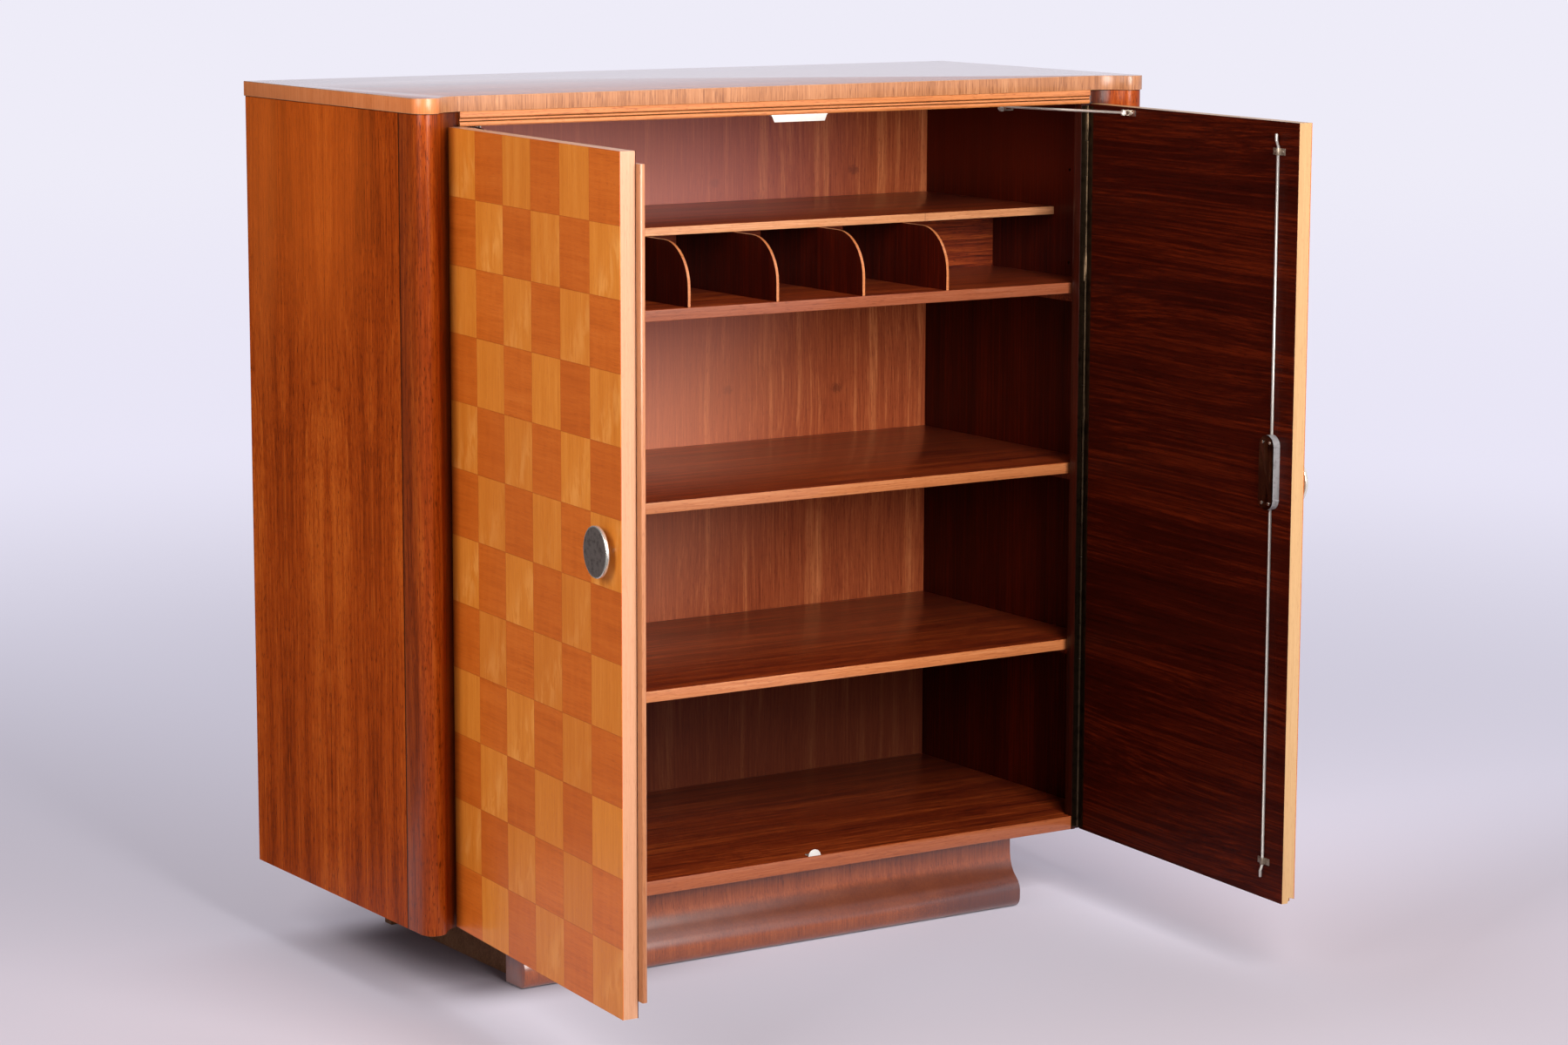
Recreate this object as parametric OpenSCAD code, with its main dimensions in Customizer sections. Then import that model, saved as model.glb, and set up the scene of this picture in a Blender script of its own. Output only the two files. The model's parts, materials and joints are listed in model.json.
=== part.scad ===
// Two-door cabinet with reeded frieze, round-nosed corner posts, shelves and pigeonholes.
// Millimetres. Origin on the floor under the middle of the cabinet, X to the viewer's right,
// front towards -Y, Z up. Both doors are drawn standing open, as photographed.

/* [Cabinet] */
// Overall width of the top board
width = 1168; // [1060:4:1320]
// Overall depth from the corner noses to the back edge
depth = 504; // [440:2:600]
// Overall height
height = 1200; // [1120:2:1400]
// Thickness of the top board
top_thickness = 20; // [16:1:26]
// Thickness of the side panels
side_thickness = 30; // [18:1:34]
// How far the top board stands out past the sides
overhang = 2.5; // [1:0.5:4]
// Height of the plinth
plinth_height = 108.5; // [80:0.5:150]
// Thickness of the bottom board
floor_thickness = 20; // [16:1:26]

// Thickness of the inner top panel
inner_top_thickness = 16; // [12:1:20]
// Thickness of the back panel
back_thickness = 5; // [3:0.5:7]

/* [Corner posts] */
// Radius of the round nose of the top board's corners
nose_radius = 20; // [17:0.5:24]
// How far the noses stand in front of the straight front
nose_projection = 30; // [28:0.5:34]

/* [Frieze] */
// Height of the reeded frieze
frieze_height = 19.2; // [17:0.2:24]

/* [Shelves] */
// Thickness of the three full shelves
shelf_thickness = 16; // [12:1:20]
// Distance from the front to the edges of the full shelves
shelf_setback = 31; // [20:1:50]
// Level of the lower shelf, in percent of the inside height
lower_level = 24.8; // [20:0.2:32]
// Level of the middle shelf, in percent of the inside height
middle_level = 49.8; // [44:0.2:56]
// Level of the upper shelf, in percent of the inside height
upper_level = 74.96; // [70:0.04:78]
// Thickness of the narrow shelf over the pigeonholes
top_shelf_thickness = 12; // [8:1:16]
// Distance from the front to the narrow shelf's edge
top_shelf_setback = 143; // [110:1:180]
// Clear height of the pigeonholes
pigeonhole_height = 87; // [70:1:100]
// Distance between the pigeonhole dividers
divider_pitch = 142; // [110:1:160]
// Radius of the rounded divider corners
divider_radius = 62; // [40:1:68]
// Thickness of the dividers
divider_thickness = 4; // [3:0.5:6]

/* [Doors] */
// Thickness of each door
door_thickness = 21; // [18:0.5:24]
// Gap between the closed doors
door_gap = 3.6; // [2:0.2:5]
// Opening angle of the left door as drawn
left_open = 94.7; // [60:0.1:94.7]
// Opening angle of the right door as drawn
right_open = 86; // [60:0.1:94.7]
// Diameter of the knob discs
knob_diameter = 64; // [48:1:70]
// Distance from the door's face to the front of a knob
knob_projection = 15; // [12:0.5:22]

/* [Hidden] */
$fn = 40;
hw = width / 2;
sx = hw - overhang;
ix = sx - side_thickness;
yb = depth / 2;
y0 = -yb + nose_projection;
zc = plinth_height;
zf = zc + floor_thickness;
zt = height - top_thickness;
zr = zt - frieze_height;
zp = zt - inner_top_thickness;
hin = zp - zf;
ax = hw - nose_radius;
ay = y0 - nose_projection + nose_radius;
xf = hw - 76;
yj = y0 + 2.5;
hx = hw - 82;
hy = y0 + 1.5;
xo = hx - 10;
xp = hw - 172;
yback = yb - 8;
yshelf = y0 + shelf_setback;
s4 = zf + hin * lower_level / 100;
s3 = zf + hin * middle_level / 100;
s2 = zf + hin * upper_level / 100;
s1 = s2 + pigeonhole_height;

ys1 = y0 + top_shelf_setback;
yfalse = y0 + 294;
// Doors, drawn closed and swung open afterwards
xe = hx - 3.2;
xm = door_gap / 2;
yi = hy - 1;
yo = yi - door_thickness;
zd0 = zc + 1;
zd1 = zr + 0.2;
// Lock, rods and knob
kx = xm + 42;
kz = 680 + (height - 1200) * 0.5;
rod_radius = 2;
rod_crank = 3;
rod_play = 0.07;
yr = yi + rod_radius + 0.6;
pinion_height = 3;
spindle_radius = 3.5;
bore_radius = 3.58;
case_lo = kz - 36.5;
case_hi = kz + 64.5;
rod_top = zr - 15.4;
rod_low = zf + 10.5;
// Stays
zs = zr - 7.3;
px = hx - 99.2;
py = hy + 6;
gx = hx - 70;
gy = hy + 93.5;
open_max = 94.7;
stay_pin = 1.5;
stay_turn = 0.4187;
stay_offset = 0.7;

// Plan outline of the right front corner, from the straight front to the side.
// r is the nose radius, yc the level the cove starts from, xc where it starts.
function cove_r(r, yc, xc) = (pow(ax - xc, 2) + pow(ay - yc, 2) - r * r) / (2 * (r - ay + yc));
function arc(cx, cy, r, a, b, n) = [for (i = [0 : n]) let (t = a + (b - a) * i / n)
  [cx + r * cos(t), cy + r * sin(t)]];
function corner(r, yc, xc) = let (rc = cove_r(r, yc, xc), by = yc - rc, g = atan2(ay - by, ax - xc))
  concat(arc(xc, by, rc, 90, g, 7), arc(ax, ay, r, g + 180, 360, 12));
function flip(p) = [for (i = [len(p) - 1 : -1 : 0]) [-p[i][0], p[i][1]]];
// Stay pivot in plan with the door open by t degrees
function pivot(t) = [hx + (px - hx) * cos(t) - (py - hy) * sin(t),
  hy + (px - hx) * sin(t) + (py - hy) * cos(t)];

// Direction from that pivot to the staple, in degrees from +Y towards -X
function aim(t) = atan2(pivot(t)[0] - gx, gy - pivot(t)[1]);

module side(s) {
  mirror([s < 0 ? 1 : 0, 0, 0]) children();
}

// Swings what is drawn closed on the right-hand side out to its door's opening angle
module swing(s) {
  side(s) translate([hx, hy, 0]) rotate([0, 0, s < 0 ? left_open : right_open])
    translate([-hx, -hy, 0]) children();
}

module block(x0, y1, z0, x1, y2, z1) {
  translate([x0, y1, z0]) cube([x1 - x0, y2 - y1, z1 - z0]);
}

// A plate drawn in X and Z, standing from y1 to y2
module upright(y1, y2) {
  translate([0, y2, 0]) rotate([90, 0, 0]) linear_extrude(height = y2 - y1) children();
}

module tube_y(x, z, r, y1, y2) {
  translate([x, y2, z]) rotate([90, 0, 0]) cylinder(r = r, h = y2 - y1);
}

// Boards and panels

module top_board() {
  p = corner(nose_radius, y0, xf);
  color("peru") translate([0, 0, zt]) linear_extrude(height = top_thickness)
    polygon(concat(p, [[hw, yb], [-hw, yb]], flip(p)));
}

module frieze() {
  h = frieze_height;
  a = h * 0.457;
  b = h * 0.677;
  p = [[10.5, h], [1.6, h], [1.0, h - 1.2], [1.0, h - a + 1.6], [1.9, h - a + 0.5], [4.2, h - a],
    [3.2, h - a - 0.7], [2.8, h - a - 1.6], [2.8, h - b + 1.2], [3.4, h - b + 0.4], [5.0, h - b],
    [3.0, h - b - 0.6], [2.1, h - b - 1.5], [2.0, h - b - 2.6], [2.0, 2.0], [2.5, 0.9], [3.6, 0],
    [10.5, 0]];
  color("sandybrown") translate([-xf + 2, 0, zr]) rotate([90, 0, 90])
    linear_extrude(height = 2 * xf - 4) polygon([for (q = p) [q[0] + y0, q[1]]]);
}

module tongue_board(z0, z1, y1) {
  linear_extrude(height = z1 - z0)
    polygon([[-xo, y1], [xo, y1], [xo, yj + 16], [ix, yj + 16], [ix, yback], [-ix, yback],
      [-ix, yj + 16], [-xo, yj + 16]]);
}

module top_panel() {
  color("saddlebrown") translate([0, 0, zp]) tongue_board(zp, zt, y0 + 10.5);
}

module bottom_board() {
  color("saddlebrown") translate([0, 0, zc]) tongue_board(zc, zf, yj);
}

module post(s) {
  p = corner(nose_radius - overhang, y0 + 5, xf - 2);
  color("sienna") side(s) difference() {
    translate([0, 0, zc]) linear_extrude(height = zt - zc)
      polygon(concat([[xo, yj], [xf - 4.4, yj], [xf - 4.4, y0 + 5]], p,
        [[sx, y0 + 27], [ix, y0 + 27], [ix, yj + 16], [xo, yj + 16]]));
    block(xo - 1, y0 - 1, zr, xf - 2, y0 + 10.5, zt + 1);
    translate([hx, hy, zc - 1]) cylinder(r = 3.7, h = zr - zc + 1);
  }
}

module left_post() {
  post(-1);
}

module right_post() {
  post(1);
}

module side_panel(s) {
  color("chocolate") side(s) block(ix, y0 + 27, zc, sx, yb, zt);
}

module left_side() {
  side_panel(-1);
}

module right_side() {
  side_panel(1);
}

module back_panel() {
  color("peru") block(-ix, yback, zc, ix, yback + back_thickness, zt);
}

module shelf(z) {
  block(-ix, yshelf, z - shelf_thickness, ix, yback, z);
}

module lower_shelf() {
  color("saddlebrown") shelf(s4);
}

module middle_shelf() {
  color("saddlebrown") shelf(s3);
}

module upper_shelf() {
  color("saddlebrown") shelf(s2);
}

module pigeonhole_shelf() {
  color("sandybrown") block(-ix, ys1, s1, ix, yback, s1 + top_shelf_thickness);
}

module pigeonhole_dividers() {
  r = divider_radius;
  d = pigeonhole_height;
  yd = yshelf + 2;
  p = concat([[yd, s2], [yd, s2 + d - r]], [for (i = [1 : 10]) [yd + r - r * cos(9 * i),
    s2 + d - r + r * sin(9 * i)]], [[yfalse, s2 + d], [yfalse, s2]]);
  color("sienna") for (i = [-2 : 2])
    translate([i * divider_pitch - divider_thickness / 2, 0, 0])
      rotate([90, 0, 90]) linear_extrude(height = divider_thickness) polygon(p);
}

module pigeonhole_back() {
  color("saddlebrown") block(-ix, yfalse, s2, ix, yfalse + 6, s1);
}

module shelf_cleats() {
  color("saddlebrown") for (s = [-1, 1], z = [s4, s3, s2]) side(s)
    block(ix - 14, yshelf + 30, z - shelf_thickness - 18, ix, yback - 20, z - shelf_thickness);
}

module plinth_front() {
  h = zc;
  p = [[70, 0], [32, 0], [28.1, 0.6], [24.5, 2], [21.4, 4.4], [19, 7.5], [17.5, 11.2], [17, 15],
    [17, 26], [18.4, 32], [22, 38.5], [27.5, 44], [33.5, 50], [38, 57.5],
    [41, 66], [42.6, 75], [43, 84], [43, h], [70, h]];
  color("saddlebrown") translate([-xp, 0, 0]) rotate([90, 0, 90])
    linear_extrude(height = 2 * xp) polygon([for (v = p) [v[0] + y0, v[1]]]);
}

module plinth_frame() {
  y1 = y0 + 70;
  y2 = yb - 36;
  color("sienna")  union() {
    block(8 - xp, y2 - 20, 0, xp - 8, y2, zc);
    block(20 - xp, y1, 0, 42 - xp, y2 - 19, zc);
    block(xp - 42, y1, 0, xp - 20, y2 - 19, zc);
    block(-20, y1, 0, 20, y2 - 19, zc);
  }
}

// Continuous hinges

module hinge_leaf(odd) {
  n = 21;
  z0 = zd0 + 3;
  l = (zr - 2.6 - z0) / n;
  y1 = odd ? hy - 1 : hy + 0.1;
  x1 = odd ? hx - 13 : xo + 0.3;
  difference() {
    union() {
      block(x1, y1, z0, hx - 3.3, y1 + 0.9, z0 + n * l);
      for (i = [0 : n - 1]) if ((i % 2 == 1) == odd) {
        translate([hx, hy, z0 + i * l + 0.2]) cylinder(r = 3, h = l - 0.4, $fn = 28);
        block(hx - 3.4, y1, z0 + i * l + 0.2, hx - 1.8, y1 + 0.9, z0 + i * l + l - 0.2);
      }
    }
    translate([hx, hy, z0 - 1]) cylinder(r = 1.16, h = n * l + 2, $fn = 24);
  }
}

module hinge_pin() {
  translate([hx, hy, zd0 + 3]) cylinder(r = 1.1, h = zr - 2.6 - zd0 - 3, $fn = 24);
}

module left_hinge_frame_leaf() {
  color("darkgoldenrod") side(-1) hinge_leaf(false);
}

module left_hinge_door_leaf() {
  color("goldenrod") swing(-1) hinge_leaf(true);
}

module left_hinge_pin() {
  color("gray") side(-1) hinge_pin();
}

module right_hinge_frame_leaf() {
  color("darkgoldenrod") side(1) hinge_leaf(false);
}

module right_hinge_door_leaf() {
  color("goldenrod") swing(1) hinge_leaf(true);
}

module right_hinge_pin() {
  color("gray") side(1) hinge_pin();
}

// Doors, each a core in a lipping ring between two veneer faces

module door_sheet(y1, y2, bore) {
  difference() {
    block(xm, y1, zd0, xe, y2, zd1);
    if (bore) tube_y(kx, kz, bore_radius, y1 - 1, y2 + 1);
  }
}

module door_core(bore) {
  difference() {
    block(xm + 8, yo + 1, zd0 + 8, xe - 8, yi - 1, zd1 - 8);
    if (bore) tube_y(kx, kz, bore_radius, yo, yi);
  }
}

module door_lipping() {
  difference() {
    block(xm, yo + 1, zd0, xe, yi - 1, zd1);
    block(xm + 8, yo, zd0 + 8, xe - 8, yi, zd1 - 8);
  }
}

module left_door_core() {
  color("burlywood") swing(-1) door_core(false);
}

module left_door_lipping() {
  color("navajowhite") swing(-1) door_lipping();
}

module left_door_face() {
  color("orange") swing(-1) door_sheet(yo, yo + 1, false);
}

module left_door_lining() {
  color("brown") swing(-1) door_sheet(yi - 1, yi, false);
}

module right_door_core() {
  color("burlywood") swing(1) door_core(true);
}

module right_door_lipping() {
  color("navajowhite") swing(1) door_lipping();
}

module right_door_face() {
  color("orange") swing(1) door_sheet(yo, yo + 1, true);
}

module right_door_lining() {
  color("brown") swing(1) door_sheet(yi - 1, yi, true);
}

module closing_strip() {
  p = [[xm + 12, yi], [xm, yi], [xm, yi + 0.7], [xm - 8.8, yi + 0.7], [xm - 10, yi + 1.6],
    [xm - 10, yi + 6], [xm - 9.2, yi + 7.4], [xm - 7.6, yi + 8], [xm + 11, yi + 8],
    [xm + 12, yi + 7]];
  color("sandybrown") swing(-1) translate([0, 0, zf + 1.6])
    linear_extrude(height = zr - 15 - zf - 1.6) polygon(p);
}

// Knobs

module knob_disc() {
  r = knob_diameter / 2;
  translate([kx, yo - knob_projection + 5, kz]) rotate([90, 0, 0])
    rotate_extrude($fn = 64) polygon([[0, 0], [r - 1.6, 0], [r - 0.4, 0.8], [r, 2],
      [r - 0.5, 3.4], [r - 2.2, 4.6], [r - 3, 4.8], [r - 8, 5], [0, 5]]);
}

module knob_stem(y1, y2) {
  translate([kx, y2, kz]) rotate([90, 0, 0]) rotate_extrude($fn = 40)
    polygon([[0, 0], [9, 0], [9, 1.4], [6.6, 3.2], [6, 5], [6, y2 - y1 - 1.5], [7.5, y2 - y1],
      [0, y2 - y1]]);
}

module left_knob() {
  color("silver") swing(-1) knob_disc();
}

module left_knob_stem() {
  color("gray") swing(-1) knob_stem(yo - knob_projection + 5, yo);
}

module right_knob() {
  color("silver") swing(1) knob_disc();
}

module right_knob_stem() {
  color("gray") swing(1) union() {
    knob_stem(yo - knob_projection + 5, yo - 0.3);
    tube_y(kx, kz, spindle_radius, yo - 2, yr - pinion_height / 2);
  }
}

// Rod lock on the inside of the right door

module lock_pinion() {
  color("gray") swing(1) union() {
    tube_y(kx, kz, 4.6, yr - pinion_height / 2, yr + pinion_height / 2);
    for (i = [0 : 11]) translate([kx, yr + pinion_height / 2, kz]) rotate([90, 0, 0])
      rotate([0, 0, 30 * i]) linear_extrude(height = pinion_height)
        polygon([[4.3, -0.75], [6.4, -0.35], [6.4, 0.35], [4.3, 0.75]]);
  }
}

module stadium(r, a, b) {
  translate([0, b - 15.5]) circle(r = r, $fn = 48);
  translate([0, a + 15.5]) circle(r = r, $fn = 48);
  translate([-r, a + 15.5]) square([2 * r, b - a - 31]);
}

module lock_case() {
  color("silver") swing(1) difference() {
    translate([kx, 0, 0]) upright(yi, yi + 10.4) difference() {
      stadium(15.5, case_lo, case_hi);
      stadium(14.2, case_lo, case_hi);
    }
    translate([kx, yr, case_lo - 5]) cylinder(r = rod_radius + rod_play, h = case_hi - case_lo + 10);
  }
}

module lock_cover() {
  color("dimgray") swing(1) difference() {
    translate([kx, 0, 0]) upright(yi + 10.4, yi + 11.6) stadium(15.5, case_lo, case_hi);
    for (x = [-8, 8], z = [case_lo + 9.5, case_hi - 9.5])
      tube_y(kx + x, z, 1.5, yi + 10, yi + 12);
  }
}

module lock_screws() {
  color("silver") swing(1) for (x = [-8, 8], z = [case_lo + 9.5, case_hi - 9.5]) union() {
    tube_y(kx + x, z, 1.4, yi, yi + 11.8);
    translate([kx + x, yi + 11.6, z]) rotate([-90, 0, 0])
      rotate_extrude($fn = 24) polygon([[0, 0], [2.4, 0], [2.3, 0.5], [1.4, 1.1], [0, 1.3]]);
  }
}

// One rack bar and its link; up is 1 for the upper rod
module rack(up) {
  z0 = up > 0 ? kz - 16 : kz - 10;
  z1 = up > 0 ? kz + 12 : kz + 18;
  translate([kx, yr + pinion_height / 2, 0]) rotate([90, 0, 0])
    linear_extrude(height = pinion_height) union() {
    translate([up > 0 ? 6.9 : -10, z0]) square([3.1, z1 - z0]);
    for (i = [-12 : 12]) if (kz + 3 * i - 1.5 > z0 + 1 && kz + 3 * i - 1.5 < z1 - 1)
      translate([0, kz + 3 * i - 1.5]) polygon([[up * 7, -0.75], [up * 5.05, -0.35],
        [up * 5.05, 0.35], [up * 7, 0.75]]);
    translate([up > 0 ? -2 : -10, up > 0 ? z1 - 1 : z0 - 5]) square([12, 6]);
  }
}

// A rod of length l, cranked away from the door before its tip, so that the tip passes
// behind a keeper. The slanting length is drawn a little thinner, as bending leaves it.
module bolt(l) {
  r = rod_radius;
  run = 8;
  tip = 9;
  a = atan2(rod_crank, run);
  past = r * tan(a / 2) + 0.2;
  cylinder(r = r, h = l - tip - run + past);
  translate([0, 0, l - tip - run]) rotate([-a, 0, 0]) translate([0, 0, -past])
    cylinder(r = r - 0.1, h = norm([rod_crank, run]) + 2 * past);
  translate([0, rod_crank, l - tip - past]) rotate_extrude()
    polygon([[0, 0], [r, 0], [r, tip + past - 0.8], [r - 0.7, tip + past], [0, tip + past]]);
}

module upper_rod() {
  color("lightgray") swing(1) union() {
    rack(1);
    translate([kx, yr, kz + 14]) bolt(rod_top - kz - 14);
  }
}

module lower_rod() {
  color("lightgray") swing(1) union() {
    rack(-1);
    translate([kx, yr, kz - 12.4]) mirror([0, 0, 1]) bolt(kz - 12.4 - rod_low);
  }
}

// A strap bent round the rod, with an ear screwed to the door on each side
module rod_guide(z) {
  w = rod_radius + 1.4;
  swing(1) difference() {
    union() {
      block(kx - 13, yi, z - 4.5, kx + 13, yi + 1, z + 4.5);
      block(kx - w, yi, z - 4.5, kx + w, yr, z + 4.5);
      intersection() {
        translate([kx, yr, z - 4.5]) cylinder(r = w, h = 9);
        block(kx - w - 1, yr - 1, z - 5, kx + w + 1, yr + w + 1, z + 5);
      }
      for (x = [-9, 9]) translate([kx + x, yi + 0.9, z]) rotate([-90, 0, 0])
        cylinder(r1 = 2.2, r2 = 1.2, h = 1);
    }
    translate([kx, yr, z - 6]) cylinder(r = rod_radius + rod_play, h = 12);
  }
}

module upper_rod_guide() {
  color("silver") rod_guide(rod_top - 24);
}

module lower_rod_guide() {
  color("silver") rod_guide(rod_low + 22);
}

module top_keeper() {
  color("lightgray") union() {
    upright(y0 + 2.6, y0 + 3.6) polygon([[-30, zr], [60, zr], [55.5, zr - 9.8], [-25.5, zr - 9.8]]);
    block(-30, y0 + 2.6, zr - 1.2, 60, y0 + 10.4, zr);
  }
}

module bottom_keeper() {
  color("lightgray") union() {
    upright(y0 + 2.6, y0 + 3.6) intersection() {
      translate([kx, zf - 1]) circle(r = 10.4, $fn = 48);
      translate([kx - 12, zf]) square([24, 12]);
    }
    block(kx - 9, y0 + 2.6, zf, kx + 9, y0 + 14, zf + 1);
  }
}

// Door stays: a rod pivoting on the door slides through a staple under the top

module stay_bracket(s) {
  swing(s) union() {
    block(px - 20, yi, zs - 4, px + 5, yi + 1.4, zs + 4);
    for (z = [zs - 3.6, zs + 2.6]) {
      block(px - 3.4, yi + 1, z, px + 3.4, py, z + 1);
      translate([px, py, z]) cylinder(r = 3.4, h = 1);
    }
    translate([px, py, zs - 4]) cylinder(r = stay_pin, h = 8);
    translate([px - 13, yi + 1.3, zs]) rotate([-90, 0, 0]) cylinder(r1 = 2.4, r2 = 1.3, h = 1.2);
  }
}

module stay_rod(s) {
  a = (s < 0 ? left_open : right_open);
  p = pivot(a);
  g = [gx, gy];
  q = pivot(open_max);
  l = norm(g - q) + 5.5;
  t = aim(open_max / 2) + stay_offset + stay_turn * (a - open_max / 2);
  color("lightgray") side(s) translate([p[0], p[1], zs]) rotate([0, 0, t]) difference() {
    union() {
      translate([0, 0, -2.1]) cylinder(r = 3.8, h = 4.2);
      translate([0, 3, 0]) rotate([-90, 0, 0]) cylinder(r = 1.8, h = l - 2);
      translate([0, l, 0]) rotate([-90, 0, 0]) cylinder(r = 6.8, h = 4);
    }
    translate([0, 0, -4]) cylinder(r = stay_pin + 0.06, h = 8);
  }
}

module stay_staple(s) {
  w = 5.4;
  side(s) translate([gx, gy, 0]) union() {
    for (m = [0, 1]) mirror([m, 0, 0]) {
      block(w, -1.5, zs - 5, w + 1.6, 1.5, zp);
      block(w, -5, zp - 1.2, w + 13, 5, zp);
      translate([w + 7.5, 0, zp - 2.2]) cylinder(r1 = 1.4, r2 = 2.4, h = 1.1);
    }
    block(-w - 1.6, -1.5, zs - 5, w + 1.6, 1.5, zs - 3.4);
  }
}

module left_stay_bracket() {
  color("silver") stay_bracket(-1);
}

module left_stay_rod() {
  stay_rod(-1);
}

module left_stay_staple() {
  color("silver") stay_staple(-1);
}

module right_stay_bracket() {
  color("silver") stay_bracket(1);
}

module right_stay_rod() {
  stay_rod(1);
}

module right_stay_staple() {
  color("silver") stay_staple(1);
}

top_board();
frieze();
top_panel();
left_post();
right_post();
left_side();
right_side();
bottom_board();
back_panel();
lower_shelf();
middle_shelf();
upper_shelf();
pigeonhole_shelf();
pigeonhole_dividers();
pigeonhole_back();
shelf_cleats();
plinth_front();
plinth_frame();
left_hinge_frame_leaf();
left_hinge_door_leaf();
left_hinge_pin();
right_hinge_frame_leaf();
right_hinge_door_leaf();
right_hinge_pin();
left_door_core();
left_door_lipping();
left_door_face();
left_door_lining();
closing_strip();
right_door_core();
right_door_lipping();
right_door_face();
right_door_lining();
left_knob();
left_knob_stem();
right_knob();
right_knob_stem();
lock_pinion();
lock_case();
lock_cover();
lock_screws();
upper_rod();
lower_rod();
upper_rod_guide();
lower_rod_guide();
top_keeper();
bottom_keeper();
left_stay_bracket();
left_stay_rod();
left_stay_staple();
right_stay_bracket();
right_stay_rod();
right_stay_staple();
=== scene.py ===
import json
import logging
import math
from contextlib import contextmanager
from dataclasses import dataclass, field, replace
from enum import Enum
from typing import Callable, Iterator, Optional, Sequence, Union

import bpy
from mathutils import Matrix, Vector

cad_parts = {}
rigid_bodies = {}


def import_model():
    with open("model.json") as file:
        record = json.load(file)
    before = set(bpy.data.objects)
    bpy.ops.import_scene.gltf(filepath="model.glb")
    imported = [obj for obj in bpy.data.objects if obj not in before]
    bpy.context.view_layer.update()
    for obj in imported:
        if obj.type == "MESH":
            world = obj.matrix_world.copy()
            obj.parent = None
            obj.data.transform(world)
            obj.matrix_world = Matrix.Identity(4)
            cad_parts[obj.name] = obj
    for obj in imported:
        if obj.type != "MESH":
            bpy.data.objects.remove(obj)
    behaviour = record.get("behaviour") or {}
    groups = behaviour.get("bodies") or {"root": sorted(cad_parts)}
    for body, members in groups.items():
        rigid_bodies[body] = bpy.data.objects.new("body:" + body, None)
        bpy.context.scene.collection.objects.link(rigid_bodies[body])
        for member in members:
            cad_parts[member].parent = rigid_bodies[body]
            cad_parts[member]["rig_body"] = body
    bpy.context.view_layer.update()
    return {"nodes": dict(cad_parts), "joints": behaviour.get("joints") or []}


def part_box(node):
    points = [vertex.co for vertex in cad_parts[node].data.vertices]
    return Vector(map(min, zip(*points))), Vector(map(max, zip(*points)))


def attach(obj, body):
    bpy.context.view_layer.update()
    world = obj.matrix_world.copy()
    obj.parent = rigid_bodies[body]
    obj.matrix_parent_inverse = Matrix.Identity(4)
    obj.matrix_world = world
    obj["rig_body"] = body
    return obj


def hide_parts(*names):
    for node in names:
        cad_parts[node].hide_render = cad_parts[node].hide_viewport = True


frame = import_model()
LOG = logging.getLogger("cabinet")

Number = Union[int, float]
Colour = tuple[float, float, float, float]
Triple = tuple[float, float, float]
Span = tuple[float, float]


def srgb(red: int, green: int, blue: int) -> Colour:
    """Turns a display colour into the linear colour that shaders take.

    Args:
        red: Red from 0 to 255.
        green: Green from 0 to 255.
        blue: Blue from 0 to 255.

    Returns:
        The linear red, green, blue and an alpha of 1.
    """
    def linear(value: float) -> float:
        """Takes one channel from 0..1 display to 0..1 linear."""
        return value / 12.92 if value <= 0.04045 else ((value + 0.055) / 1.055) ** 2.4

    return (linear(red / 255), linear(green / 255), linear(blue / 255), 1.0)


class Axis(Enum):
    """A direction of the cabinet: across it, into it, or up."""

    X = 0
    Y = 1
    Z = 2


class Side(Enum):
    """The left or the right half of the cabinet."""

    LEFT = -1
    RIGHT = 1

    @property
    def word(self) -> str:
        """The side's word in the names of nodes and bodies."""
        return self.name.lower()


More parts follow.
